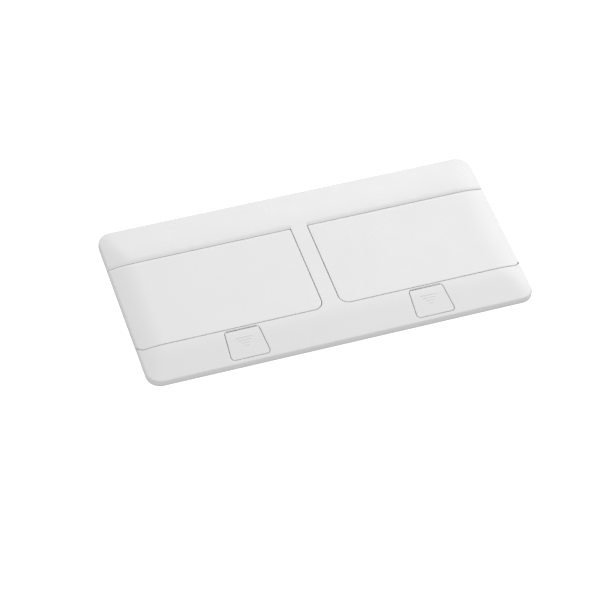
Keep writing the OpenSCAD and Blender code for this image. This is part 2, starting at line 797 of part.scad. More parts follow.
module socket_cover(side, index) {
    s = module_s - 0.1;
    back = -well_d - floor_t;
    color(module_white) in_socket(side, index) difference() {
        union() {
            slab([-s / 2, -s / 2, -cover_t], [s / 2, s / 2, 0]);
            translate([0, 0, back]) cylinder(h = -back - 1, r = well_r + tube_t, $fn = 96);
        }
        difference() {
            translate([0, 0, -well_d]) cylinder(h = well_d + 1, r = well_r, $fn = 96);
            for (x = [-1, 1]) slab([x < 0 ? -well_r - 1 : well_r - 2, -1.8, -well_d - 0.5],
                                   [x < 0 ? -well_r + 2 : well_r + 1, 1.8, -3]);
        }
        for (x = [-1, 1]) translate([x * pin_pitch / 2, 0, back - 1])
            cylinder(h = 4, r = pin_hole_r, $fn = 48);
        for (y = [-1, 1])
            slab([-clip_w / 2, y < 0 ? -well_r - 2 : well_r - 1.5, clip_z],
                 [clip_w / 2, y < 0 ? -well_r + 1.5 : well_r + 2, -3]);
    }
}

module socket_base(side, index) {
    color(dark) in_socket(side, index) difference() {
        union() {
            slab([-base_l / 2, -base_h / 2, base_z - base_t], [base_l / 2, base_h / 2, base_z]);
            for (y = [-1, 1])
                slab([-base_l / 2, y < 0 ? -7.6 : shutter_w / 2 + 0.2, base_z - 0.5],
                     [base_l / 2, y < 0 ? -shutter_w / 2 - 0.2 : 7.6, base_z + shutter_gap]);
        }
        for (x = [-1, 1]) translate([x * pin_pitch / 2, 0, base_z - 10])
            cylinder(h = 11, r = 4, $fn = 48);
    }
}

module socket_contacts(side, index) {
    color(brass) in_socket(side, index) {
        for (x = [-1, 1]) translate([x * pin_pitch / 2, 0, base_z - 10]) difference() {
            cylinder(h = 8.5, r = 3.95, $fn = 48);
            translate([0, 0, 1]) cylinder(h = 9, r = 2.55, $fn = 48);
            slab([-0.5, -5, 2.5], [0.5, 5, 9]);
        }
        for (y = [-1, 1]) rotate([0, 0, y < 0 ? 180 : 0]) {
            slab([-clip_w / 2, 18.7, clip_z], [clip_w / 2, 19.3, -3.6]);
            slab([-clip_w / 2, 18.7, clip_z], [clip_w / 2, 21.7, clip_z + 0.6]);
            slab([-clip_w / 2, 21.1, clip_z], [clip_w / 2, 21.7, -10]);
        }
    }
}

module shutter(side, index) {
    z0 = base_z + 0.35;
    color([0.75, 0.76, 0.76]) in_socket(side, index) difference() {
        slab([-19, -shutter_w / 2, z0], [13, shutter_w / 2, z0 + shutter_t]);
        for (x = [-1, 1]) translate([x * pin_pitch / 2 - shutter_travel, 0, z0 - 1])
            cylinder(h = 4, r = pin_hole_r + 0.2, $fn = 48);
    }
}

// ---------- Keys and latches ----------

module key(side) {
    low = -1.3;
    elbow = 2.7;
    high = 3.6;
    color(white) on_side(side) translate([key_x, 0, 0]) {
        difference() {
            union() {
                intersection() {
                    difference() {
                        under_rails(0);
                        under_rails(key_t);
                    }
                    linear_extrude(height = plate_h + overcut) polygon(key_outline(0));
                }
                rod_x(-11, 11, key_boss_r, key_pivot_y, key_pivot_z);
                // Slanted finger that moves the latch both ways
                along_x(-finger_w / 2, finger_w / 2) polygon([
                    [finger_line - elbow, high], [finger_line - elbow, elbow],
                    [finger_line - low, low], [finger_line - low + finger_t, low],
                    [finger_line - elbow + finger_t, elbow], [finger_line - elbow + finger_t, high]]);
                for (x = [-1, 1]) translate([x * spring_x, spring_y, 2])
                    cylinder(h = 1.6, r = 0.9, $fn = 24);
            }
            rod_x(-13, 13, key_pin_r + fit, key_pivot_y, key_pivot_z);
        }
    }
}

module key_pin(side) {
    color(steel) on_side(side)
        rod_x(key_x - key_pin_l / 2, key_x + key_pin_l / 2, key_pin_r, key_pivot_y, key_pivot_z);
}

// Coil spring standing on the guide's floor, with its end turns closed up
module coil(height) {
    rings = spring_turns * 10;
    sides = 6;
    rise = height - 2 * spring_wire;
    points = [for (i = [0:rings]) let (a = i * 36, z = spring_wire + rise * i / rings)
        for (j = [0:sides - 1]) let (b = j * 360 / sides, r = spring_r + spring_wire * cos(b))
            [r * cos(a), r * sin(a), z + spring_wire * sin(b)]];
    walls = [for (i = [0:rings - 1], j = [0:sides - 1]) let (k = (j + 1) % sides)
        [i * sides + j, (i + 1) * sides + j, (i + 1) * sides + k, i * sides + k]];
    ends = [[for (j = [0:sides - 1]) j], [for (j = [sides - 1:-1:0]) rings * sides + j]];
    polyhedron(points = points, faces = concat(walls, ends), convexity = 4);
}

module key_springs(side) {
    top = rail_z(spring_y) - key_t;
    color(steel) on_side(side) for (x = [-1, 1])
        translate([key_x + x * spring_x, spring_y, guide_floor + 0.02])
            coil(top - guide_floor - 0.06);
}

module latch(side) {
    back = -36.9;
    play = 0.25;
    play_back = 0.5;
    high = 0.8;
    color([0.75, 0.76, 0.76]) on_side(side) translate([key_x, 0, 0]) difference() {
        union() {
            slab([-latch_w / 2, -47.5, latch_low], [latch_w / 2, back, latch_top]);
            slab([-3.8, -46, latch_low], [3.8, back, high]);
            along_x(-3.8, 3.8) polygon([[back - 1, latch_low], [latch_tip, latch_low],
                [latch_tip, latch_top - 1], [latch_tip - 1, latch_top], [back - 1, latch_top]]);
        }
        along_x(-finger_w / 2 - 0.4, finger_w / 2 + 0.4) polygon([
            [finger_line - play - 2, 2], [finger_line - play + 4.5, -4.5],
            [finger_line + finger_t + play_back + 4.5, -4.5],
            [finger_line + finger_t + play_back - 2, 2]]);
    }
}

// ---------- Desk clamps ----------

module clamp(side) {
    inner = box_l / 2 + 0.3;
    outer = cutout_l / 2 - 0.4;
    color(steel) on_side(side) difference() {
        union() {
            slab([inner, -clamp_w / 2, clamp_top - clamp_h], [outer, clamp_w / 2, clamp_top]);
            slab([outer - 1, -clamp_w / 2, clamp_top - 2.5],
                 [outer + clamp_reach, clamp_w / 2, clamp_top]);
            for (y = [-1, 1]) translate([0, y * (clamp_w / 2 - 1) + 1, 0]) rotate([90, 0, 0])
                linear_extrude(height = 2) polygon([
                    [outer - 1, clamp_top - 2], [outer - 1, clamp_top - clamp_h],
                    [outer, clamp_top - clamp_h], [outer + clamp_reach - 1, clamp_top - 2]]);
        }
        translate([clamp_x, 0, clamp_top - clamp_h - 1])
            cylinder(h = clamp_h + 2, r = screw_r + fit, $fn = 32);
    }
}

// ---------- Assembly ----------

cover_frame();
flange_gasket();
chassis();
back_box();
box_screws();
cover_screws();
clamp_screws();
terminal_block();
terminal_screws();
earth_stud();
grommet(-1);  // left_grommet
grommet(1);  // right_grommet
hinge_pin(-1);  // left_hinge_pin
hinge_pin(1);  // right_hinge_pin
damper(-1);  // left_damper
damper(1);  // right_damper
pinion(-1);  // left_pinion
pinion(1);  // right_pinion
lid(-1);  // left_lid
lid(1);  // right_lid
pod_shell(-1);  // left_pod_shell
pod_shell(1);  // right_pod_shell
gear_sector(-1);  // left_gear_sector
gear_sector(1);  // right_gear_sector
module_carrier(-1);  // left_module_carrier
module_carrier(1);  // right_module_carrier
lid_screws(-1);  // left_lid_screws
lid_screws(1);  // right_lid_screws
socket_cover(-1, 1);  // left_outer_cover
socket_cover(-1, 0);  // left_inner_cover
socket_cover(1, 0);  // right_inner_cover
socket_cover(1, 1);  // right_outer_cover
socket_base(-1, 1);  // left_outer_base
socket_base(-1, 0);  // left_inner_base
socket_base(1, 0);  // right_inner_base
socket_base(1, 1);  // right_outer_base
socket_contacts(-1, 1);  // left_outer_contacts
socket_contacts(-1, 0);  // left_inner_contacts
socket_contacts(1, 0);  // right_inner_contacts
socket_contacts(1, 1);  // right_outer_contacts
shutter(-1, 1);  // left_outer_shutter
shutter(-1, 0);  // left_inner_shutter
shutter(1, 0);  // right_inner_shutter
shutter(1, 1);  // right_outer_shutter
key(-1);  // left_key
key(1);  // right_key
key_pin(-1);  // left_key_pin
key_pin(1);  // right_key_pin
key_springs(-1);  // left_key_springs
key_springs(1);  // right_key_springs
latch(-1);  // left_latch
latch(1);  // right_latch
clamp(-1);  // left_clamp
clamp(1);  // right_clamp
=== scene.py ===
"""Pop-up desk power unit: its moulded skins, finishes and stage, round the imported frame."""
import math

import bmesh
import bpy
import numpy as np
from bpy.props import FloatProperty, FloatVectorProperty, PointerProperty
from mathutils import Matrix, Vector
from mathutils.geometry import delaunay_2d_cdt


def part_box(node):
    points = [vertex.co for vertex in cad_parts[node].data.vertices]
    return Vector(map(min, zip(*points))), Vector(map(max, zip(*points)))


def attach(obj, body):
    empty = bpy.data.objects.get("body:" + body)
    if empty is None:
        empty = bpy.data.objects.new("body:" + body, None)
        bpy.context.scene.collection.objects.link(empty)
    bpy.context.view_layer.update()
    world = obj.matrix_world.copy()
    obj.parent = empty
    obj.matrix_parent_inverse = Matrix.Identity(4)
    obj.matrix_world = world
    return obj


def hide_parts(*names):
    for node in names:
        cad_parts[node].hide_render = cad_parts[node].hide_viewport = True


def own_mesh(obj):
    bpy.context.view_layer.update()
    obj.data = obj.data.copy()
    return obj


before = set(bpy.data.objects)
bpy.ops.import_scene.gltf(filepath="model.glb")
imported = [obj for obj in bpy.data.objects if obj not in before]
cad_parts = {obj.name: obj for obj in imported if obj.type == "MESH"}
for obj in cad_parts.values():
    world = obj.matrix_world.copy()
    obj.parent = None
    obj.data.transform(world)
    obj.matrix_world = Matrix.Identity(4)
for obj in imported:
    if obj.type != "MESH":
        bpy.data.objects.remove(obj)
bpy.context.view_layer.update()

bl_info = {
    "name": "Pop-up desk power unit",
    "version": (1, 0, 0),
    "blender": (4, 5, 0),
    "location": "3D View > Sidebar > Desk unit",
    "description": "Finishes, moulded skins and stage of a flush desk power unit",
    "category": "Object",
}

MM = 0.001
SIDES = ("left", "right")
PLACES = ("outer", "inner")
HALF_L, HALF_W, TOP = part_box("cover_frame")[1]

# The plate, as on its right side. Numbers without MM here are millimetres too
CORNER_POWER = 3  # how sharply the rolled ends blend into the sloping rails
FLANGE_TOP = 2.05 * MM  # where its inner walls and bosses stand on the flange
END_FOOT_X = 119.45 * MM  # past this, its walls stand on the desk
KEY_SPACE = 14 * MM  # half the length of window wall that is thinned behind a key
KEY_WALL = 0.4 * MM  # that wall's thickness
KEY_BOSSES = (-14.1, 14.1)  # middles of the bosses for a key's pin, from the key's middle
KEY_BOSS_Y = (-57.7, -54.3)  # front and back of those bosses
COVER_SCREWS = ((30, 46.6), (92, 42), (88, -46.6), (26, -47))
BACK_RIBS, FRONT_RIBS = (14, 38, 70, 84, 100), (14, 36, 80, 98)  # their places along x
RIB_FOOT = 2.6 * MM
RIB_HALF = 0.6 * MM  # half a rib's thickness
INTO_SKIN = 0.6 * MM  # how far a boss reaches into the skin over it

# A lid, as on the right side
LID_SKIN = 2.2 * MM
LID_SOLID_X = 106.8 * MM  # past this, the lid is a bare skin over the desk
LID_OPEN = math.radians(54)
LID_RELIEF = 1.5 * MM  # kept between the bare skin's rear edge and the desk
LID_THINNEST = 0.3 * MM  # height of the bare skin's rear edge
LID_END_LOW = 1.6 * MM  # foot of the wall at a lid's end
LID_LOW = 1.2 * MM  # foot of a lid's ribs and bosses
FRONT_LIP_LOW = 0.9 * MM  # foot of the lip along a lid's front
ROW_RIBS = (6, 20)  # places along y of the ribs that run along x
COLUMN_RIBS = (-36, -12, 12, 36)  # the others' places along x, from the pod's middle
LID_SCREWS = (14, -18)  # their places along y

# The keys
BACK_GAP_SHARE = 0.55  # how much of the gap round a key is left behind it
GRIP_BARS = ((10.6, 6.2), (7.9, 8.2), (5.3, 10.2), (2.7, 12.2))  # length, from the back
GRIP_ROOT = 0.2 * MM  # how far a grip bar reaches into the key
WIRE = 0.25 * MM  # radius of the springs' wire
COIL_TURNS = 6

# The desk: half length, half width and corner radius of its face, hidden part and cut-out
DESK = (0.36, 0.42, 0.01)
UNDER_UNIT = (0.1213, 0.0603, 0.0085)
CUT_OUT = (0.115, 0.054, 0.006)
DESK_THICKNESS = 0.01  # the thinnest that the clamps take, so they never cut into it
BOX_WALLS = (0.1091, 0.053)  # half length and half width over the back box's walls
KEY_LIGHT_FROM = (0.527, 0.6275, 0.574)

# Meshing and shading
STEP = 3 * MM  # between the points inside a skin, and along its edges
FINE_STEP = 0.5 * MM  # between the points beside a lid's rounded corner
ARC_STEP = 0.9 * MM  # between the points round a corner
TINY = 1e-6  # metres or radians that count as nothing
CORNER_ROOM = 0.05 * MM  # between a sharp corner's rows and the next point
EDGE_ROOM = 0.7 * MM  # between a skin's inner points and its edges
SHARP = math.radians(40)  # a mesh's edges are shaded as sharp from this angle
NOISE_LOW, NOISE_HIGH = 0.3, 0.7


# ---------- Settings ----------

def colour(name, description, value):
    """A colour setting."""
    return FloatVectorProperty(name=name, description=description, subtype="COLOR",
                               size=3, min=0.0, max=1.0, default=value)


def number(name, description, value, **kind):
    """A number setting."""
    return FloatProperty(name=name, description=description, default=value, **kind)


def length(name, description, value):
    """A length setting, with its default in millimetres."""
    return number(name, description, value * MM, unit="LENGTH", min=0.0, precision=5)


def degrees(name, description, value):
    """An angle setting, with its default in degrees."""
    return number(name, description, math.radians(value), unit="ROTATION", subtype="ANGLE")


class DeskUnitColours(bpy.types.PropertyGroup):
    """Colours of the unit's plastics and metals"""
    cover: colour("Cover", "Satin white of the plate, lids and keys", (0.82, 0.82, 0.82))
    socket: colour("Sockets", "Glossier white of the socket covers", (0.80, 0.80, 0.78))
    shutter: colour("Shutters", "Grey of the shutters and latches", (0.42, 0.43, 0.44))
    shell: colour("Shells", "Dark grey of the pods, chassis and back box", (0.045, 0.048, 0.052))
    gear: colour("Gears", "Natural colour of the damper gears", (0.72, 0.70, 0.62))
    # This dark also paints shade on the strip across the gap round the back box
    rubber: colour("Rubber", "Gasket and cable entries", (0.018, 0.018, 0.019))
    steel: colour("Steel", "Screws, pins and clamps", (0.56, 0.57, 0.58))
    brass: colour("Brass", "Contacts, terminals and earth stud", (0.72, 0.53, 0.24))


class DeskUnitSizes(bpy.types.PropertyGroup):
    """Sizes of the plate, the lids and the keys"""
    corner: length("Corner radius", "Radius of the plate's corners, seen from above", 9)
    roll_start: length("Flat half", "From the middle to where the ends begin to roll off", 106)
    roll_radius: length("Roll-off radius", "Radius of the rolled ends", 65)
    front_start: length("Front slope start", "Where the front rail begins to slope", 35)
    front_blend: length("Front blend", "Length over which the front slope begins", 8)
    front_slope: degrees("Front slope", "Slope of the front rail", 4.5)
    back_start: length("Back slope start", "Where the back rail begins to slope", 34)
    back_blend: length("Back blend", "Length over which the back slope begins", 12)
    back_slope: degrees("Back slope", "Slope of the back rail", 4.6)
    rim: length("Rim rounding", "Rounding of the plate's outer edge", 1.2)
    seam: length("Seam", "Gap between a lid and its window", 0.4)
    crease: length("Crease", "Width of the back rail's shallow fall to the hinges", 3.4)
    crease_fall: length("Crease depth", "How far the back rail falls towards the hinges", 0.4)
    lip_gap: length("Lip gap", "Gap between the back rail's lip and a lid's nose", 0.15)
    back_gap: length("Back gap", "Gap between a lid's nose and the back rail's wall", 0.35)
    inner_corner: length("Inner corner", "Radius of a window's inner front corner", 6.4)
    outer_corner: length("Outer corner", "Radius of a window's outer front corner", 5.4)
    skin: length("Skin", "Wall thickness of the plate", 1.6)
    end_wall: length("End wall", "Thickness of the rim at the plate's two ends", 2.2)
    window_wall: length("Window wall", "Thickness of the walls round the windows", 1.4)
    strip: length("Strip", "Height of the strip that passes under a lid's end", 1.2)
    key_gap: length("Key gap", "Gap round a key", 0.35)
    key_corner: length("Key corner", "Corner radius of a key", 2.2)
    key_back: length("Key's back", "Width of a key at its back edge", 21)
    key_front: length("Key's front", "Width of a key at its front edge", 24.2)
    grip_width: length("Grip bar width", "Width of a raised grip bar on a key", 0.8)
    grip_height: length("Grip bar height", "Height of a grip bar above the key", 0.15)
    edge: length("Edge rounding", "Rounding of the lids' and keys' edges", 0.3)


class DeskUnitStage(bpy.types.PropertyGroup):
    """The camera, the lights and the desk"""
    azimuth: degrees("Azimuth", "Direction that the camera looks from", -21.059)
    elevation: degrees("Elevation", "Height of the camera above the desk", 49.815)
    roll: degrees("Roll", "Tilt of the camera about its own axis", 3.661)
    distance: number("Distance", "From the camera to the unit's middle", 1.50073, unit="LENGTH")
    aside: number("Aside", "Camera's place to the right of the middle", -0.008744, unit="LENGTH")
    above: number("Above", "Camera's place above the middle, in its own frame", -0.018751,
                  unit="LENGTH")
    lens: number("Lens", "Focal length in millimetres", 147.27)
    glow: number("Desk glow", "How much whiter the camera sees the desk", 0.8, min=0.0)
    room: number("Room light", "Strength of the light from all round", 0.63, min=0.0)
    key: number("Key light", "Strength of the light from the right", 1.45, min=0.0)
    spread: degrees("Key light spread", "Angle over which the key light's shadows soften", 45)
    desk: colour("Desk", "Plain pale desk top", (0.9, 0.9, 0.9))


# ---------- Materials ----------

def add(tree, kind, **values):
    """Adds a shader node. Each value, or the output it comes from, goes to the input it names."""
    made = tree.nodes.new(f"ShaderNode{kind}")
    for name, value in values.items():
        socket = made.inputs[name.replace("_", " ")]
        if isinstance(value, bpy.types.NodeSocket):
            tree.links.new(value, socket)
        else:
            socket.default_value = value
    return made


def new_material(name):
    """A material with one principled shader: gives it, its node tree and the shader."""
    made = bpy.data.materials.new(name)
    made.use_nodes = True
    tree = made.node_tree
    tree.nodes.clear()
    shader = add(tree, "BsdfPrincipled")
    add(tree, "OutputMaterial", Surface=shader.outputs["BSDF"])
    return made, tree, shader


def noise(tree, scale, detail=3.0, stretch=(1.0, 1.0, 1.0)):
    """A noise value over the object's own coordinates."""
    place = add(tree, "TexCoord").outputs["Object"]
    spread = add(tree, "Mapping", Vector=place, Scale=stretch).outputs["Vector"]
    return add(tree, "TexNoise", Vector=spread, Scale=scale, Detail=detail).outputs["Fac"]


def ranged(tree, value, low, high):
    """A noise value, spread from low to high."""
    return add(tree, "MapRange", Value=value, From_Min=NOISE_LOW, From_Max=NOISE_HIGH,
               To_Min=low, To_Max=high).outputs["Result"]


def shaded(tree, shader, rgb, value, share):
    """Base colour that varies by a small share round rgb."""
    ramp = add(tree, "ValToRGB", Fac=value)
    low, high = ramp.color_ramp.elements
    low.position, high.position = NOISE_LOW, NOISE_HIGH
    low.color = [c * (1 - share) for c in rgb] + [1]
    high.color = [min(1.0, c * (1 + share)) for c in rgb] + [1]
    tree.links.new(ramp.outputs["Color"], shader.inputs["Base Color"])


def bumped(tree, shader, value, strength, distance):
    """Gives a shader a fine relief."""
    bump = add(tree, "Bump", Height=value, Strength=strength, Distance=distance)
    tree.links.new(bump.outputs["Normal"], shader.inputs["Normal"])


def plastic(name, rgb, rough, grain=1800.0, depth=0.02 * MM, share=0.012):
    """Moulded plastic: faint clouding of the colour, and a fine eroded grain."""
    made, tree, shader = new_material(name)
    shaded(tree, shader, rgb, noise(tree, 30.0, 2.0), share)
    tree.links.new(ranged(tree, noise(tree, 90.0), rough - 0.03, rough + 0.03),
                   shader.inputs["Roughness"])
    bumped(tree, shader, noise(tree, grain, 2.0), 0.35, depth)
    shader.inputs["IOR"].default_value = 1.49
    return made


def metal(name, rgb, rough):
    """Metal with fine drawn lines and slightly uneven polish."""
    made, tree, shader = new_material(name)
    lines = noise(tree, 900.0, stretch=(1.0, 1.0, 14.0))
    shaded(tree, shader, rgb, noise(tree, 120.0), 0.06)
    tree.links.new(ranged(tree, lines, rough - 0.07, rough + 0.08), shader.inputs["Roughness"])
    bumped(tree, shader, lines, 0.25, 0.01 * MM)
    shader.inputs["Metallic"].default_value = 1.0
    return made


# ---------- Form of the plate ----------

def end_drop(x, sizes):
    """How far the top has rolled off at x, towards the ends of the plate."""
    past = abs(x) - sizes.roll_start
    return 0.0 if past <= 0 else sizes.roll_radius - math.sqrt(sizes.roll_radius ** 2 - past ** 2)


def slope_drop(past, blend, angle):
    """How far a slope has fallen, past its start. It begins gently, over the blend."""
    if past <= 0:
        return 0.0
    if past < blend:
        return past * past * math.tan(angle) / (2 * blend)
    return (past - blend / 2) * math.tan(angle)


def rail_drop(y, sizes):
    """How far the top has sloped down at y, over the front or the back rail."""
    if y < 0:
        return slope_drop(-y - sizes.front_start, sizes.front_blend, sizes.front_slope)
    return slope_drop(y - sizes.back_start, sizes.back_blend, sizes.back_slope)


def form(x, y, sizes):
    """Height of the top, with the ends and the rails blended into each other at the corners."""
    end, rail = end_drop(x, sizes), rail_drop(y, sizes)
    return TOP - (end ** CORNER_POWER + rail ** CORNER_POWER) ** (1 / CORNER_POWER)


# ---------- Mesh helpers ----------

def rounded(radius, segments=4, depths=()):
    """Rows down an edge as (how far inwards, how far below the top), then a plain wall's depths."""
    turns = [math.pi / 2 * k / segments for k in range(segments + 1)]
    return np.array([(radius * (1 - math.sin(a)), radius * (1 - math.cos(a))) for a in turns]
                    + [(0.0, max(radius, depth)) for depth in depths])


class Edge:
    """What an outline's edge carries: its rows, its wall, how low that reaches, its step."""

    def __init__(self, rows, wall, low=None, step=STEP):
        self.rows, self.wall, self.low, self.step = rows, wall, low, step

    def facing(self, side):
        """What a point of this edge carries, with the edge's outward side there."""
        return side, self.rows, self.wall


class Point:
    """A point of an outline: its place, and (outward side, rows, wall) of its one or two edges.

    Its wall reaches down to low, if it has one, and room limits how far its rows reach inwards.
    """

    def __init__(self, place, sides, low):
        self.place, self.sides, self.low, self.room = place, sides, low, None

    def inset(self, depths):
        """Its place with each of its edges moved inwards by a depth."""
        if self.room is not None:
            depths = [min(depth, self.room) for depth in depths]
        a = self.sides[0][0]
        if len(self.sides) == 1:
            return self.place - a * depths[0]
        b = self.sides[1][0]
        if self.room == 0:
            return self.place
        det = a.x * b.y - a.y * b.x
        return self.place - Vector((depths[0] * b.y - depths[1] * a.y,
                                    depths[1] * a.x - depths[0] * b.x)) / det


def outline(corners, edges):
    """Points of a closed outline, anticlockwise round solid and clockwise round a hole.

    Each corner is (x, y, radius), and edges holds what runs from each corner to the next.
    """
    count = len(corners)
    points, starts, sharp = [], [], []
    for i, (x, y, radius) in enumerate(corners):
        old, new = edges[i - 1], edges[i]
        here = Vector((x, y))
        came = (here - Vector(corners[i - 1][:2])).normalized()
        goes = (Vector(corners[(i + 1) % count][:2]) - here).normalized()
        side_in, side_out = Vector((came.y, -came.x)), Vector((goes.y, -goes.x))
        turn = math.atan2(came.x * goes.y - came.y * goes.x, came.dot(goes))
        low = new.low if old.low is None else old.low
        starts.append(len(points))
        sharp.append(radius == 0 and abs(turn) > 1)
        if abs(turn) < TINY:
            points.append(Point(here, [new.facing(side_out)], new.low))
            continue
        if radius == 0:
            points.append(Point(here, [old.facing(side_in), new.facing(side_out)], low))
            continue
        bend = 1 if turn > 0 else -1
        middle = here - (side_in + side_out).normalized() * bend * radius / math.cos(turn / 2)
        steps = max(4, round(abs(turn) * radius / ARC_STEP))
        for k in range(steps + 1):
            share = k / steps
            a = turn * share
            side = Vector((side_in.x * math.cos(a) - side_in.y * math.sin(a),
                           side_in.x * math.sin(a) + side_in.y * math.cos(a)))
            points.append(Point(middle + side * bend * radius,
                                [(side, old.rows + (new.rows - old.rows) * share,
                                  old.wall + (new.wall - old.wall) * share)], low))
    out = []
    for i, start in enumerate(starts):
        stop = starts[i + 1] if i + 1 < count else len(points)
        out += points[start:stop]
        a, b = points[stop - 1].place, points[stop % len(points)].place
        way = b - a
        parts = max(1, round(way.length / edges[i].step))
        side = Vector((way.y, -way.x)).normalized()
        # Points keep as far from a sharp corner as the next edge's rows reach in
        stop_at = (i + 1) % count
        near = edges[i - 1].rows[0][0] + CORNER_ROOM if sharp[i] else 0
        far = way.length - (edges[stop_at].rows[0][0] + CORNER_ROOM if sharp[stop_at] else 0)
        along = [way.length * k / parts for k in range(1, parts)]
        along = [near] * sharp[i] + [d for d in along if near < d < far] + [far] * sharp[stop_at]
        out += [Point(a + way.normalized() * d, [edges[i].facing(side)], edges[i].low)
                for d in along]
    return out


def inside_of(points, tails):
    """Which of the points are inside the closed loops whose edges are tails."""
    p, a, b = points[:, None, :], tails[:, 0], tails[:, 1]
    rise = b[:, 1] - a[:, 1]
    rise = np.where(rise == 0, 1.0, rise)
    crossed = (a[:, 1] > p[..., 1]) != (b[:, 1] > p[..., 1])
    at = (b[:, 0] - a[:, 0]) * (p[..., 1] - a[:, 1]) / rise + a[:, 0]
    return (crossed & (p[..., 0] < at)).sum(axis=1) % 2 == 1


def clear_of(points, tails, away):
    """Which of the points are further than away from every edge in tails."""
    p, a = points[:, None, :], tails[:, 0]
    along = tails[:, 1] - a
    square = np.maximum((along ** 2).sum(axis=1), 1e-18)
    share = np.clip(((p - a) * along).sum(axis=2) / square, 0, 1)
    return np.linalg.norm(a + along * share[..., None] - p, axis=2).min(axis=1) > away


def fill(mesh, rows, inner, height, upwards, lines=()):
    """Fills the loops in rows with triangles through the inner points, at height(x, y).

    The triangles keep to the open lines, whose ends are points of the loops or of each other.
    """
    verts = [v for row in rows for v in row]
    flat = [v.co.xy for v in verts]
    edges, start = [], 0
    for row in rows:
        edges += [(start + k, start + (k + 1) % len(row)) for k in range(len(row))]
        start += len(row)
    tails = np.array([(flat[a], flat[b]) for a, b in edges])
    for line in lines:
        edges += [(len(flat) + k, len(flat) + k + 1) for k in range(len(line) - 1)]
        flat += [Vector(p) for p in line]
    every = np.array([(flat[a], flat[b]) for a, b in edges])
    inner = np.array(inner)
    kept = inner[clear_of(inner, every, EDGE_ROOM) & inside_of(inner, tails)]
    flat += [Vector(p) for p in kept]
    places, _, faces, sources, _, _ = delaunay_2d_cdt(flat, edges, [], 0, 1e-7)
    found = []
    for place, source in zip(places, sources):
        known = [i for i in source if i < len(verts)]
        found.append(verts[known[0]] if known else mesh.verts.new((*place, height(*place))))
    middles = np.array([sum((places[i] for i in face), Vector((0, 0))) / len(face)
                        for face in faces])
    for face, wanted in zip(faces, inside_of(middles, tails)):
        ring = [found[i] for i in face]
        if wanted and len(set(ring)) == len(ring):
            mesh.faces.new(ring if upwards else ring[::-1])


def shell(mesh, outlines, inner, top, under, keep_in, floor=lambda y: 0.0, lines=((), ())):
    """A closed shell whose edges follow their rows.

    top(x, y) and under(x, y) give its heights, and keep_in(point) the inner foot of a wall.
    No foot goes below floor(y), and lines has open lines for the top and for the underside.
    """
    rims, soles = [], []
    for points in outlines:
        foot = [under(*p.place) if p.low is None else
                min(max(p.low, floor(p.place.y)), top(*p.place)) for p in points]
        rows = []
        for k in range(len(points[0].sides[0][1])):
            row = []
            for p, z in zip(points, foot):
                place = p.inset([side[1][k][0] for side in p.sides])
                sunk = max(side[1][k][1] for side in p.sides)
                row.append((place.x, place.y, max(z, top(place.x, place.y) - sunk)))
            rows.append(row)
        rows.append([(x, y, z) for (x, y, _), z in zip(rows[-1], foot)])
        if any(p.low is not None for p in points):
            within = [keep_in(p) for p in points]
            rows.append([(q.x, q.y, z) for q, z in zip(within, foot)])
            rows.append([(q.x, q.y, under(q.x, q.y)) for q in within])
        made = [[mesh.verts.new(place) for place in row] for row in rows]
        for high, low in zip(made, made[1:]):
            for k in range(len(points)):
                n = (k + 1) % len(points)
                mesh.faces.new((high[k], low[k], low[n], high[n]))
        rims.append(made[0])
        soles.append(made[-1])
    fill(mesh, rims, inner, top, True, lines[0])
    fill(mesh, soles, inner, under, False, lines[1])


def loft(mesh, sections):
    """Skins a row of closed sections with the same number of points, and caps both ends."""
    rows = [[mesh.verts.new(p) for p in section] for section in sections]
    for a, b in zip(rows, rows[1:]):
        for k in range(len(a)):
            n = (k + 1) % len(a)
            mesh.faces.new((a[k], a[n], b[n], b[k]))
    mesh.faces.new(rows[0][::-1])
    mesh.faces.new(rows[-1])


def turned(mesh, profile, place, sides=32):
    """A closed profile of (radius, height) points turned round an upright axis."""
    rows = []
    for k in range(sides):
        a = 2 * math.pi * k / sides
        rows.append([mesh.verts.new((place[0] + r * math.cos(a), place[1] + r * math.sin(a), z))
                     for r, z in profile])
    for k, a in enumerate(rows):
        b = rows[(k + 1) % sides]
        for i in range(len(profile)):
            n = (i + 1) % len(profile)
            mesh.faces.new((a[i], b[i], b[n], a[n]))


def boss(mesh, place, inner, outer, low, high):
    """A round boss with a screw hole, from low to high."""
    turned(mesh, [(inner, low), (outer, low), (outer, high), (inner, high)], place)


def piece(name, mesh, body, material, nodes=()):
    """Makes the object of a mesh: smooth between sharp edges, and riding on its body."""
    bmesh.ops.remove_doubles(mesh, verts=mesh.verts, dist=2 * TINY)
    bmesh.ops.dissolve_degenerate(mesh, edges=mesh.edges, dist=TINY)
    bmesh.ops.recalc_face_normals(mesh, faces=mesh.faces)
    data = bpy.data.meshes.new(name)
    mesh.to_mesh(data)
    mesh.free()
    data.materials.append(material)
    data.polygons.foreach_set("use_smooth", [True] * len(data.polygons))
    data.set_sharp_from_angle(angle=SHARP)
    made = bpy.data.objects.new(name, data)
    bpy.context.scene.collection.objects.link(made)
    even = made.modifiers.new("Even shading", "WEIGHTED_NORMAL")
    even.keep_sharp = True
    even.weight = 75
    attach(made, body)
    if nodes:
        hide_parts(*nodes)
    return made


# ---------- Cover plate ----------

def key_middle():
    """How far a key's middle is from the plate's."""
    low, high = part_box("right_key")
    return (low[0] + high[0]) / 2


def key_hole(sizes, x):
    """Corners of the opening round the key at x, clockwise."""
    low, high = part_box("right_key")
    gap = sizes.key_gap
    back, front = high[1] + gap * BACK_GAP_SHARE, low[1] - gap
    radius = sizes.key_corner + gap
    b, f = sizes.key_back / 2 + gap, sizes.key_front / 2 + gap
    return [(x - b, back, radius), (x + b, back, radius), (x + f, front, radius),
            (x - f, front, radius)]


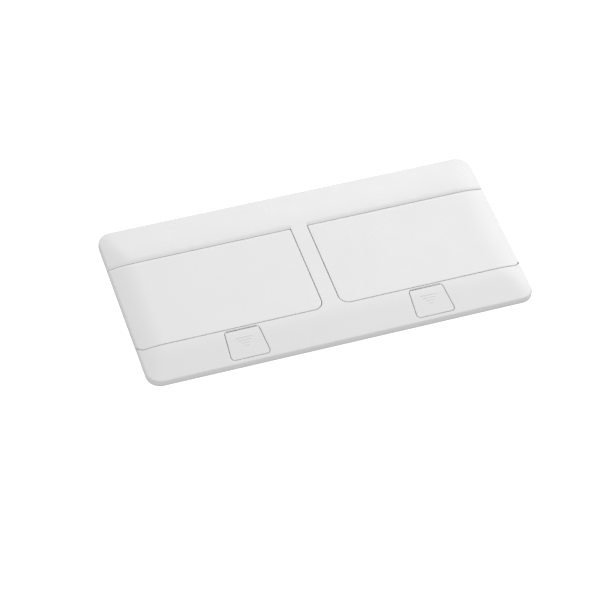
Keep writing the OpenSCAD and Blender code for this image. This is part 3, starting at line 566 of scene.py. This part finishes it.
def hinge_axis():
    """The place of the lids' hinge in y and z, and the radius of a lid's nose about it."""
    low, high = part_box("right_hinge_pin")
    y, z = (low[1] + high[1]) / 2, (low[2] + high[2]) / 2
    return y, z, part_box("right_lid")[1][1] - y


def lip_rows(sizes):
    """The back rail's edge over the hinge: its rows, and how far its lip is ahead of its wall.

    The rows are a shallow fall to a thin lip, then a hollow round the lid's nose.
    """
    _, hinge_z, nose = hinge_axis()
    rise = TOP - hinge_z
    turns = [math.radians(a) for a in (50, 35, 18, 0)]
    radii = [nose + sizes.lip_gap + (sizes.back_gap - sizes.lip_gap) * k / 3 for k in range(4)]
    lip = radii[0] * math.cos(turns[0])
    hollow = [(r * math.cos(a) - lip, rise - r * math.sin(a)) for r, a in zip(radii, turns)]
    shares = (1, 0.8, 0.6, 0.4, 0.2, 0.04)
    fall = [(sizes.crease * t, sizes.crease_fall * (1 - t) ** 2) for t in shares]
    edge = [(0, (fall[-1][1] + hollow[0][1]) / 2)]
    return np.array(fall + edge + hollow), nose + sizes.back_gap - lip


def plate_outline(sizes):
    """The plate's outline: a front rail, the bar between the windows and a back rail."""
    lid_low, lid_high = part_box("right_lid")
    key_x = key_middle()
    bar, front = lid_low[0] - sizes.seam, lid_low[1] - sizes.seam
    fall, ahead = lip_rows(sizes)
    back = lid_high[1] + sizes.back_gap - ahead
    depths = [depth for _, depth in fall[-4:]]
    r = sizes.outer_corner
    middle = (HALF_L + sizes.seam - r, front + r)
    across = HALF_L - middle[0]
    tip = middle[1] - math.sqrt(r * r - across * across)
    foot = HALF_L - (tip - front) * (middle[1] - tip) / across
    end_rows, seam_rows = rounded(sizes.rim, 6, depths), rounded(sizes.edge, 6, depths)
    rim = Edge(end_rows, sizes.end_wall, 0)
    seam = Edge(seam_rows, sizes.window_wall, FLANGE_TOP)
    corners = [
        (HALF_L, -HALF_W, sizes.corner), (HALF_L, front - 2 * MM, 0), (HALF_L, tip, 0),
        (foot, front, r), (key_x + KEY_SPACE, front, 0), (key_x - KEY_SPACE, front, 0),
        (bar, front, sizes.inner_corner), (bar, back, 0.3 * MM), (HALF_L, back, 0),
        (HALF_L, HALF_W, sizes.corner)]
    edges = [
        rim, Edge(end_rows, sizes.end_wall, 0, FINE_STEP), seam, seam,
        Edge(seam_rows, KEY_WALL, FLANGE_TOP), seam, seam,
        Edge(fall, ahead + sizes.window_wall, FLANGE_TOP), rim]
    corners += [(-x, y, radius) for x, y, radius in reversed(corners)]
    long_side = Edge(end_rows, sizes.skin, 0)
    points = outline(corners, edges + [long_side] + edges[::-1] + [long_side])
    for p in points:
        x, y = abs(p.place.x), p.place.y
        if x > END_FOOT_X:
            p.low = 0
        if front - 1.5 * MM < y < tip + 0.1 * MM and x > middle[0]:
            # The front rail narrows to a point here, so its rows reach less far inwards
            if x > HALF_L - TINY:
                width = HALF_L - middle[0] - math.sqrt(max(0, r * r - max(0, middle[1] - y) ** 2))
                p.room = 0.7 * max(0.0, width)
            else:
                p.room = 0.25 * (HALF_L - x)
    return points, front


def grid(columns, lines):
    """Points that a skin's faces run through, off the middle line so that it stays clean."""
    return [(i * STEP, (j + 0.1) * STEP) for i in columns for j in lines]


def build_cover(sizes, material):
    """The plate: a skin with walls round its windows, and what stands under it."""
    mesh = bmesh.new()
    key_x = key_middle()
    points, front = plate_outline(sizes)
    hole = Edge(rounded(sizes.edge), sizes.edge)
    outlines = [points] + [outline(key_hole(sizes, x), [hole] * 4) for x in (-key_x, key_x)]

    def top(x, y):
        return form(x, y, sizes)

    def under(x, y):
        return form(x, y, sizes) - sizes.skin

    def foot(p):
        place = p.inset([side[2] for side in p.sides])
        if p.room is not None:
            place.x = math.copysign(min(abs(place.x), HALF_L - sizes.end_wall), place.x)
            place.y = min(place.y, front - sizes.window_wall)
        return place

    shell(mesh, outlines, grid(range(-40, 41), range(-20, 21)), top, under, foot)

    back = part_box("right_lid")[1][1] + sizes.back_gap
    for side in (-1, 1):
        # Strip that passes under the lid's end, between the two rails
        arc = sorted((p.place.y, p.place.x) for p in points
                     if p.place.x * side > HALF_L - sizes.end_wall and front < p.place.y < 0
                     and p.sides[-1][0].y > 0.01)
        inner = (HALF_L - sizes.end_wall) * side
        outer = (HALF_L - 0.01 * MM) * side
        ring = [(x, y) for y, x in arc] + [(outer, back), (inner, back), (inner, arc[0][0])]
        loft(mesh, [[(x, y, 0) for x, y in ring], [(x, y, sizes.strip) for x, y in ring]])
        # Bosses that hold the key's pin
        for x in KEY_BOSSES:
            a, b = (key_x * side + (x + across) * MM for across in (-1.5, 1.5))
            c, d = (y * MM for y in KEY_BOSS_Y)
            ring = [(a, c), (b, c), (b, d), (a, d)]
            loft(mesh, [[(x, y, FLANGE_TOP) for x, y in ring],
                        [(x, y, under(x, y) + INTO_SKIN) for x, y in ring]])
        # Screw bosses
        for x, y in COVER_SCREWS:
            place = (x * MM * side, y * MM)
            boss(mesh, place, 1.05 * MM, 3 * MM, FLANGE_TOP, under(*place) + INTO_SKIN)
        # Ribs under the rails
        for x, low, high in ([(x, back + 1 * MM, HALF_W - 1.2 * MM) for x in BACK_RIBS]
                             + [(x, -HALF_W + 1.2 * MM, front - 1 * MM) for x in FRONT_RIBS]):
            rows = []
            for k in range(5):
                y = low + (high - low) * k / 4
                z = top(x * MM, y) - sizes.skin / 2
                a, b = (x * MM - RIB_HALF) * side, (x * MM + RIB_HALF) * side
                rows.append([(a, y, RIB_FOOT), (b, y, RIB_FOOT), (b, y, z), (a, y, z)])
            loft(mesh, rows)
    return piece("cover_plate", mesh, "housing", material, ["cover_frame"])


def build_lid(sizes, material, side):
    """A lid: its skin, its rounded rear edge about the hinge pin, and what hangs under it."""
    mesh = bmesh.new()
    (x0, y0, _), (x1, y1, _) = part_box("right_lid")
    pod_x0, pod_x1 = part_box("right_pod_shell")[0][0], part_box("right_pod_shell")[1][0]
    hinge_y, hinge_z, nose = hinge_axis()
    inner_r, outer_r = sizes.inner_corner - sizes.seam, sizes.outer_corner - sizes.seam
    wall_x = x1 - sizes.skin

    def top(x, y):
        past = min(max(0.0, y - hinge_y), nose)
        return form(x, 0, sizes) - (nose - math.sqrt(nose * nose - past * past))

    def floor(y):
        """The bare skin's rear edge stays above this, so that it clears the desk as it turns."""
        swung = (y - hinge_y) * math.sin(LID_OPEN)
        return hinge_z + (swung - LID_RELIEF) / math.cos(LID_OPEN)

    def under(x, y):
        # The underside rolls off half as far as the top, so the end keeps its strength
        base = TOP - LID_SKIN - end_drop(x, sizes) / 2
        if x > LID_SOLID_X + 0.02 * MM:
            return min(max(base, floor(y)), top(x, y))
        past = min(abs(y - hinge_y), nose)
        if y > hinge_y - nose - 0.01 * MM:
            return min(base, hinge_z - math.sqrt(nose * nose - past * past))
        return base

    def halved(low, high, short):
        """Where short(value) stops being true between low and high."""
        for _ in range(30):
            middle = (low + high) / 2
            low, high = (middle, high) if short(middle) else (low, middle)
        return low

    def rear(x):
        """How far back the bare skin reaches, thinned as it is to clear the desk."""
        return halved(hinge_y, y1, lambda y: top(x, y) - floor(y) > LID_THINNEST)

    turns = [math.radians(a) for a in (15, 30, 45, 60, 75)]
    behind = [hinge_y + nose * math.sin(a) for a in turns]
    ahead = [hinge_y - nose * math.sin(a) for a in turns]
    ys = sorted([hinge_y - nose - 0.05 * MM, hinge_y - nose, hinge_y] + behind + ahead)
    skin_x = LID_SOLID_X + 0.05 * MM
    outer_ys = [y for y in ys if y < rear(x1) - 0.03 * MM]
    curve = {skin_x: rear(skin_x), x1: rear(x1)}
    curve |= {x1 - d * MM: rear(x1 - d * MM) for d in (2, 3.5, 6, 9.5)}
    crossed = {y: halved(skin_x, x1, lambda x: rear(x) > y) for y in ys
               if rear(x1) - 0.03 * MM <= y < rear(skin_x) - 0.02 * MM}
    curve |= {x: y for y, x in crossed.items()}
    inner_side = Edge(rounded(sizes.edge), 0)
    end = Edge(rounded(sizes.rim), 0, LID_END_LOW)
    back = Edge(rounded(0), 0)
    corners = ([(x0, y1, 0)] + [(x0, y, 0) for y in ys[::-1]] + [(x0, y0, inner_r)]
               + [(x1, y0, outer_r)] + [(x1, y, 0) for y in outer_ys]
               + [(x, curve[x], 0) for x in sorted(curve, reverse=True)] + [(LID_SOLID_X, y1, 0)])
    edges = ([inner_side] * (len(ys) + 2) + [end] * (len(outer_ys) + 1)
             + [back] * (len(curve) + 1))
    points = outline(corners, edges)
    for p in points:
        if p.low is not None and p.place.x < wall_x:
            p.low = None

    def keep_in(p):
        return p.place if p.low is None else Vector((min(p.place.x, wall_x), p.place.y))

    def across(y, start, stop):
        count = max(1, round((stop - start) / STEP))
        return [(start + (stop - start) * k / count, y) for k in range(count + 1)]

    inner_ys = [y for y in ys if y not in outer_ys and y not in crossed]
    over = [across(y, x0 + sizes.edge, x1 - sizes.rim) for y in outer_ys]
    over += [across(y, x0 + sizes.edge, x) for y, x in crossed.items()]
    over += [across(y, x0 + sizes.edge, LID_SOLID_X) for y in inner_ys]
    over.append([(LID_SOLID_X, y) for y in inner_ys + [y1]])
    below = [across(y, x0, LID_SOLID_X) for y in ys]
    below += [[(LID_SOLID_X, y) for y in ys + [y1]],
              [(skin_x, y) for y in outer_ys + sorted(crossed) + [rear(skin_x)]]]
    below.append([(LID_SOLID_X, ys[0]), (skin_x, ys[0])])
    shell(mesh, [points], grid(range(1, 41), range(-12, 11)), top, under, keep_in, floor,
          (over, below))

    high = TOP - LID_SKIN + 0.4 * MM

    def hang(a, b, c, d, low):
        """A rib or lip from x a to b and y c to d."""
        ring = [(a, c), (b, c), (b, d), (a, d)]
        loft(mesh, [[(x, y, z) for x, y in ring] for z in (low, high)])

    middle = (pod_x0 + pod_x1) / 2
    hang(pod_x0 + 3 * MM, pod_x1 - 3 * MM, y0 + 0.25 * MM, y0 + 1.65 * MM, FRONT_LIP_LOW)
    for y in ROW_RIBS:
        hang(pod_x0 + 2.4 * MM, pod_x1 - 2.4 * MM, y * MM - RIB_HALF, y * MM + RIB_HALF, LID_LOW)
    for x in COLUMN_RIBS:
        x = middle + x * MM
        hang(x - RIB_HALF, x + RIB_HALF, ROW_RIBS[0] * MM, hinge_y - 2 * MM, LID_LOW)
    for x in (pod_x0 + 5.1 * MM, pod_x1 - 5.1 * MM):
        for y in LID_SCREWS:
            boss(mesh, (x, y * MM), 1.15 * MM, 2.6 * MM, LID_LOW, high)
    if side == "left":
        for v in mesh.verts:
            v.co.x = -v.co.x
    return piece(f"{side}_lid_skin", mesh, f"{side}_pod", material,
                 [f"{side}_lid"])


def build_grip(sizes, material, side):
    """Raised bars on a key that get shorter towards its front."""
    mesh = bmesh.new()
    low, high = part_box(f"{side}_key")
    middle, half_w = (low[0] + high[0]) / 2, sizes.grip_width / 2
    for long, back in GRIP_BARS:
        half, y = long * MM / 2, high[1] - back * MM
        root = form(middle, y, sizes) - GRIP_ROOT
        rows = []
        for k in range(13):
            x = half * math.sin((k / 6 - 1) * math.pi / 2)
            past = max(0.0, abs(x) - (half - half_w)) / half_w
            # The bar's ends are round, and its first and last sections keep a little size
            share = math.sqrt(max(0.0, 1 - past * past)) * 0.96 + 0.04
            wide, tall = half_w * share, sizes.grip_height * share
            row = []
            for a in (math.pi * i / 6 for i in range(7)):
                at = y + wide * math.cos(a)
                row.append((middle + x, at, form(middle, at, sizes) + tall * math.sin(a)))
            rows.append(row + [(middle + x, y - wide, root), (middle + x, y + wide, root)])
        loft(mesh, rows)
    return piece(f"{side}_key_grip", mesh, f"{side}_push_key", material)


def build_coils(material, side):
    """The two coil springs under a key, with closed end turns."""
    mesh = bmesh.new()
    low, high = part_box(f"{side}_key_springs")
    outer, middle_y = (high[1] - low[1]) / 2, (low[1] + high[1]) / 2
    steps, sides = 28, 10
    for middle_x in (low[0] + outer, high[0] - outer):
        sections = []
        for i in range(COIL_TURNS * steps + 1):
            around, share = 2 * math.pi * i / steps, i / (COIL_TURNS * steps)
            # The wire climbs slowly in the end turns
            climb = share - math.sin(2 * math.pi * share) / (2 * math.pi) * 0.8
            z = low[2] + WIRE + (high[2] - low[2] - 2 * WIRE) * climb
            section = []
            for b in (2 * math.pi * j / sides for j in range(sides)):
                r = outer - WIRE + WIRE * math.cos(b)
                section.append((middle_x + r * math.cos(around), middle_y + r * math.sin(around),
                                z + WIRE * math.sin(b)))
            sections.append(section)
        loft(mesh, sections)
    made = piece(f"{side}_key_coils", mesh, "housing", material,
                 [f"{side}_key_springs"])
    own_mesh(made)


# ---------- Finish of the nodes that keep their CAD form ----------

def finish_node(name, material, edge=0.0, angle=32.0, chosen=None):
    """Gives a CAD node its material, and evens its shading without touching its mesh.

    With an edge width, the edges between the chosen points are rounded.
    """
    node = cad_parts[name]
    mesh = node.data
    if "custom_normal" in mesh.attributes:
        mesh.attributes.remove(mesh.attributes["custom_normal"])
    mesh.materials.clear()
    mesh.materials.append(material)
    mesh.polygons.foreach_set("use_smooth", [True] * len(mesh.polygons))
    weld = node.modifiers.new("Join", "WELD")
    weld.merge_threshold = 0.004 * MM
    if edge > 0:
        flat = node.modifiers.new("Clean faces", "DECIMATE")
        flat.decimate_type = "DISSOLVE"
        flat.angle_limit = math.radians(0.4)
        group = node.vertex_groups.new(name="rounded")
        group.add([v.index for v in mesh.vertices if chosen(v.co)], 1.0, "REPLACE")
        bevel = node.modifiers.new("Round edges", "BEVEL")
        bevel.limit_method = "VGROUP"
        bevel.vertex_group = group.name
        bevel.width = edge
        bevel.segments = 3
        bevel.use_clamp_overlap = False
    split = node.modifiers.new("Crisp edges", "EDGE_SPLIT")
    split.split_angle = math.radians(angle)
    split.use_edge_sharp = False
    if edge > 0:
        even = node.modifiers.new("Even shading", "WEIGHTED_NORMAL")
        even.weight = 80


FINISHES = {
    "cover_white": lambda name, tint: plastic(name, tint.cover, 0.3, share=0.004),
    "shell_grey": lambda name, tint: plastic(name, tint.shell, 0.5, share=0.05),
    "socket_white": lambda name, tint: plastic(name, tint.socket, 0.22, share=0.004),
    "shutter_grey": lambda name, tint: plastic(name, tint.shutter, 0.45),
    "gear_natural": lambda name, tint: plastic(name, tint.gear, 0.4),
    "entry_rubber": lambda name, tint: plastic(name, tint.rubber, 0.75, 900.0, 0.04 * MM),
    "plated_steel": lambda name, tint: metal(name, tint.steel, 0.32),
    "contact_brass": lambda name, tint: metal(name, tint.brass, 0.28),
}


def finish(context, name):
    """The material of a finish, made the first time that a step asks for it."""
    return bpy.data.materials.get(name) or FINISHES[name](name, context.scene.desk_unit_colours)


def finish_parts(context, **parts):
    """Finishes CAD nodes: each key is a finish, and its value names the nodes that have it.

    A name with SIDE or PLACE in it stands for the nodes of both sides or places.
    """
    for name, nodes in parts.items():
        for node in nodes.split():
            for side in SIDES if "SIDE" in node else ("",):
                for place in PLACES if "PLACE" in node else ("",):
                    finish_node(node.replace("SIDE", side).replace("PLACE", place),
                                finish(context, name))


# ---------- Steps ----------

class DESKUNIT_OT_cover_plate(bpy.types.Operator):
    """Mould the cover plate round the two windows, and finish the screws that hold it"""
    bl_idname = "desk_unit.cover_plate"
    bl_label = "Cover plate"

    def execute(self, context):
        build_cover(context.scene.desk_unit_sizes, finish(context, "cover_white"))
        finish_parts(context, plated_steel="cover_screws")
        return {"FINISHED"}


class DESKUNIT_OT_lids(bpy.types.Operator):
    """Mould the two lids with their noses and ribs, and finish the screws that hold them"""
    bl_idname = "desk_unit.lids"
    bl_label = "Lids"

    def execute(self, context):
        for side in SIDES:
            build_lid(context.scene.desk_unit_sizes, finish(context, "cover_white"), side)
        finish_parts(context, plated_steel="SIDE_lid_screws")
        return {"FINISHED"}


class DESKUNIT_OT_keys(bpy.types.Operator):
    """Round the two keys, give them their grip bars, and wind the springs under them"""
    bl_idname = "desk_unit.keys"
    bl_label = "Keys"

    def execute(self, context):
        sizes, white = context.scene.desk_unit_sizes, finish(context, "cover_white")

        def on_top(p):
            return abs(p.z - form(p.x, p.y, sizes)) < 0.03 * MM

        for side in SIDES:
            finish_node(f"{side}_key", white, sizes.edge, 50.0, on_top)
            build_grip(sizes, white, side)
            build_coils(finish(context, "plated_steel"), side)
        finish_parts(context, plated_steel="SIDE_key_pin")
        return {"FINISHED"}


class DESKUNIT_OT_box(bpy.types.Operator):
    """Finish the chassis, the back box with its gasket and screws, and the cable entries"""
    bl_idname = "desk_unit.box"
    bl_label = "Chassis and box"

    def execute(self, context):
        finish_parts(context, shell_grey="chassis back_box", plated_steel="box_screws",
                     entry_rubber="flange_gasket SIDE_grommet")
        return {"FINISHED"}


class DESKUNIT_OT_terminals(bpy.types.Operator):
    """Finish the terminal block, its screws and the earth stud"""
    bl_idname = "desk_unit.terminals"
    bl_label = "Terminals"

    def execute(self, context):
        finish_parts(context, socket_white="terminal_block",
                     contact_brass="terminal_screws earth_stud")
        return {"FINISHED"}


class DESKUNIT_OT_hinges(bpy.types.Operator):
    """Finish the hinge pins, the dampers, their pinions and the gear sectors"""
    bl_idname = "desk_unit.hinges"
    bl_label = "Hinges and dampers"

    def execute(self, context):
        finish_parts(context, plated_steel="SIDE_hinge_pin", shell_grey="SIDE_damper",
                     gear_natural="SIDE_pinion SIDE_gear_sector")
        return {"FINISHED"}


class DESKUNIT_OT_pods(bpy.types.Operator):
    """Finish the pods' shells and the carriers that hold their sockets"""
    bl_idname = "desk_unit.pods"
    bl_label = "Pods"

    def execute(self, context):
        finish_parts(context, shell_grey="SIDE_pod_shell", socket_white="SIDE_module_carrier")
        return {"FINISHED"}


class DESKUNIT_OT_sockets(bpy.types.Operator):
    """Finish the four sockets: covers, bases, contacts and shutters"""
    bl_idname = "desk_unit.sockets"
    bl_label = "Sockets"

    def execute(self, context):
        finish_parts(context, socket_white="SIDE_PLACE_cover", shell_grey="SIDE_PLACE_base",
                     contact_brass="SIDE_PLACE_contacts", shutter_grey="SIDE_PLACE_shutter")
        return {"FINISHED"}


class DESKUNIT_OT_latches(bpy.types.Operator):
    """Finish the two latches that the keys draw"""
    bl_idname = "desk_unit.latches"
    bl_label = "Latches"

    def execute(self, context):
        finish_parts(context, shutter_grey="SIDE_latch")
        return {"FINISHED"}


class DESKUNIT_OT_clamps(bpy.types.Operator):
    """Finish the clamps that hold the unit to the desk, and their screws"""
    bl_idname = "desk_unit.clamps"
    bl_label = "Desk clamps"

    def execute(self, context):
        finish_parts(context, plated_steel="SIDE_clamp clamp_screws")
        return {"FINISHED"}


# ---------- Stage ----------

def place_camera(scene, stage):
    """Puts the camera where the stage's settings say."""
    a, e, r = stage.azimuth, stage.elevation, stage.roll
    back = Vector((math.sin(a) * math.cos(e), -math.cos(a) * math.cos(e), math.sin(e)))
    right = Vector((0, 0, 1)).cross(back).normalized()
    up = back.cross(right)
    axes = Matrix((right * math.cos(r) + up * math.sin(r),
                   up * math.cos(r) - right * math.sin(r), back)).transposed()
    camera = bpy.data.objects.new("camera", bpy.data.cameras.new("camera"))
    camera.data.lens = stage.lens
    camera.data.clip_start = 0.1
    place = axes @ Vector((stage.aside, stage.above, stage.distance))
    camera.matrix_world = Matrix.Translation(place) @ axes.to_4x4()
    scene.collection.objects.link(camera)
    scene.camera = camera


def seen_apart(tree, lit, seen, surface):
    """Joins two shaders: the camera sees one, and the other is what lights the unit."""
    mix = add(tree, "MixShader", Fac=add(tree, "LightPath").outputs["Is Camera Ray"])
    tree.links.new(lit, mix.inputs[1])
    tree.links.new(seen, mix.inputs[2])
    tree.links.new(mix.outputs["Shader"], surface)


def laminate(name, rgb, glow=0.0):
    """Dull pale laminate with a faint mottle. With a glow, the camera sees it whiter."""
    made, tree, shader = new_material(name)
    shaded(tree, shader, rgb, noise(tree, 12.0), 0.004)
    shader.inputs["Roughness"].default_value = 0.7
    shader.inputs["Specular IOR Level"].default_value = 0.2
    if glow:
        light = add(tree, "Emission", Strength=glow)
        both = add(tree, "AddShader")
        out = next(node for node in tree.nodes if node.type == "OUTPUT_MATERIAL")
        tree.links.new(shader.outputs["BSDF"], both.inputs[0])
        tree.links.new(light.outputs["Emission"], both.inputs[1])
        seen_apart(tree, shader.outputs["BSDF"], both.outputs["Shader"], out.inputs["Surface"])
    return made


def build_desk(materials):
    """A desk top with its cut-out. The materials are for its cut and hidden faces, its open
    face, and a dark strip across the gap round the back box, which paints shade into that gap."""
    mesh = bmesh.new()
    rings = []
    for x, y, radius in (DESK, UNDER_UNIT, CUT_OUT, CUT_OUT, DESK):
        deep = -DESK_THICKNESS if len(rings) > 2 else 0
        ring = []
        for corner in range(4):
            east, north = 1 if corner in (0, 3) else -1, 1 if corner < 2 else -1
            for k in range(6):
                a = math.pi / 2 * (corner + k / 5)
                ring.append(mesh.verts.new((east * (x - radius) + radius * math.cos(a),
                                            north * (y - radius) + radius * math.sin(a), deep)))
        rings.append(ring)
    # A dark strip across the gap between the cut-out and the back box's walls: painted shade in
    # that gap
    strip = [[mesh.verts.new((east * x, north * y, -DESK_THICKNESS * 0.9))
              for east, north in ((1, 1), (-1, 1), (-1, -1), (1, -1))]
             for x, y in (CUT_OUT[:2], BOX_WALLS)]
    bands = [(low, high, int(index == 0))
             for index, (low, high) in enumerate(zip(rings, rings[1:] + rings[:1]))]
    for low, high, index in bands + [(*strip, 2)]:
        for i in range(len(low)):
            k = (i + 1) % len(low)
            mesh.faces.new((low[i], low[k], high[k], high[i])).material_index = index
    data = bpy.data.meshes.new("desk")
    mesh.to_mesh(data)
    mesh.free()
    for material in materials:
        data.materials.append(material)
    desk = bpy.data.objects.new("desk", data)
    bpy.context.scene.collection.objects.link(desk)


def light_room(scene, strength):
    """Even light from all round, in front of a white that only the camera sees."""
    world = bpy.data.worlds.new("studio")
    scene.world = world
    world.use_nodes = True
    tree = world.node_tree
    tree.nodes.clear()
    out = add(tree, "OutputWorld")
    seen = add(tree, "Background", Color=(1, 1, 1, 1))
    light = add(tree, "Background", Color=(1, 1, 1, 1), Strength=strength)
    seen_apart(tree, light.outputs["Background"], seen.outputs["Background"],
               out.inputs["Surface"])


def key_light(scene, strength, spread):
    """A distant lamp with soft shadows."""
    data = bpy.data.lights.new("key_light", "SUN")
    data.angle = spread
    data.energy = strength
    lamp = bpy.data.objects.new("key_light", data)
    lamp.location = KEY_LIGHT_FROM
    lamp.rotation_euler = (-Vector(KEY_LIGHT_FROM)).to_track_quat("-Z", "Y").to_euler()
    scene.collection.objects.link(lamp)


class DESKUNIT_OT_stage(bpy.types.Operator):
    """Make the desk, the lights and the camera"""
    bl_idname = "desk_unit.stage"
    bl_label = "Stage"

    def execute(self, context):
        scene, stage = context.scene, context.scene.desk_unit_stage
        place_camera(scene, stage)
        build_desk((laminate("cut_laminate", stage.desk),
                    laminate("desk_laminate", stage.desk, stage.glow),
                    # The rubber's dark colour also goes on the strip across the gap round the back
                    # box: painted shade
                    finish(context, "entry_rubber")))
        light_room(scene, stage.room)
        key_light(scene, stage.key, stage.spread)
        scene.view_settings.view_transform = "Standard"
        return {"FINISHED"}


# ---------- Panel and registration ----------

# In the order in which they run
OPERATORS = (DESKUNIT_OT_stage, DESKUNIT_OT_cover_plate, DESKUNIT_OT_lids, DESKUNIT_OT_keys,
             DESKUNIT_OT_box, DESKUNIT_OT_terminals, DESKUNIT_OT_hinges, DESKUNIT_OT_pods,
             DESKUNIT_OT_sockets, DESKUNIT_OT_latches, DESKUNIT_OT_clamps)


class DESKUNIT_PT_panel(bpy.types.Panel):
    """Lists the steps that build the unit's visual model"""
    bl_idname = "DESKUNIT_PT_panel"
    bl_label = "Desk unit"
    bl_space_type = "VIEW_3D"
    bl_region_type = "UI"
    bl_category = "Desk unit"

    def draw(self, context):
        for operator in OPERATORS:
            self.layout.operator(operator.bl_idname)
        for name, group in GROUPS.items():
            for key in group.__annotations__:
                self.layout.prop(getattr(context.scene, name), key)


GROUPS = {"desk_unit_colours": DeskUnitColours, "desk_unit_sizes": DeskUnitSizes,
          "desk_unit_stage": DeskUnitStage}
CLASSES = (*GROUPS.values(), *OPERATORS, DESKUNIT_PT_panel)


def register():
    for made in CLASSES:
        bpy.utils.register_class(made)
    for name, group in GROUPS.items():
        setattr(bpy.types.Scene, name, PointerProperty(type=group))


def unregister():
    for name in GROUPS:
        delattr(bpy.types.Scene, name)
    for made in reversed(CLASSES):
        bpy.utils.unregister_class(made)


def main():
    register()
    for operator in OPERATORS:
        _, step = operator.bl_idname.split(".")
        getattr(bpy.ops.desk_unit, step)()


if __name__ == "__main__":
    main()
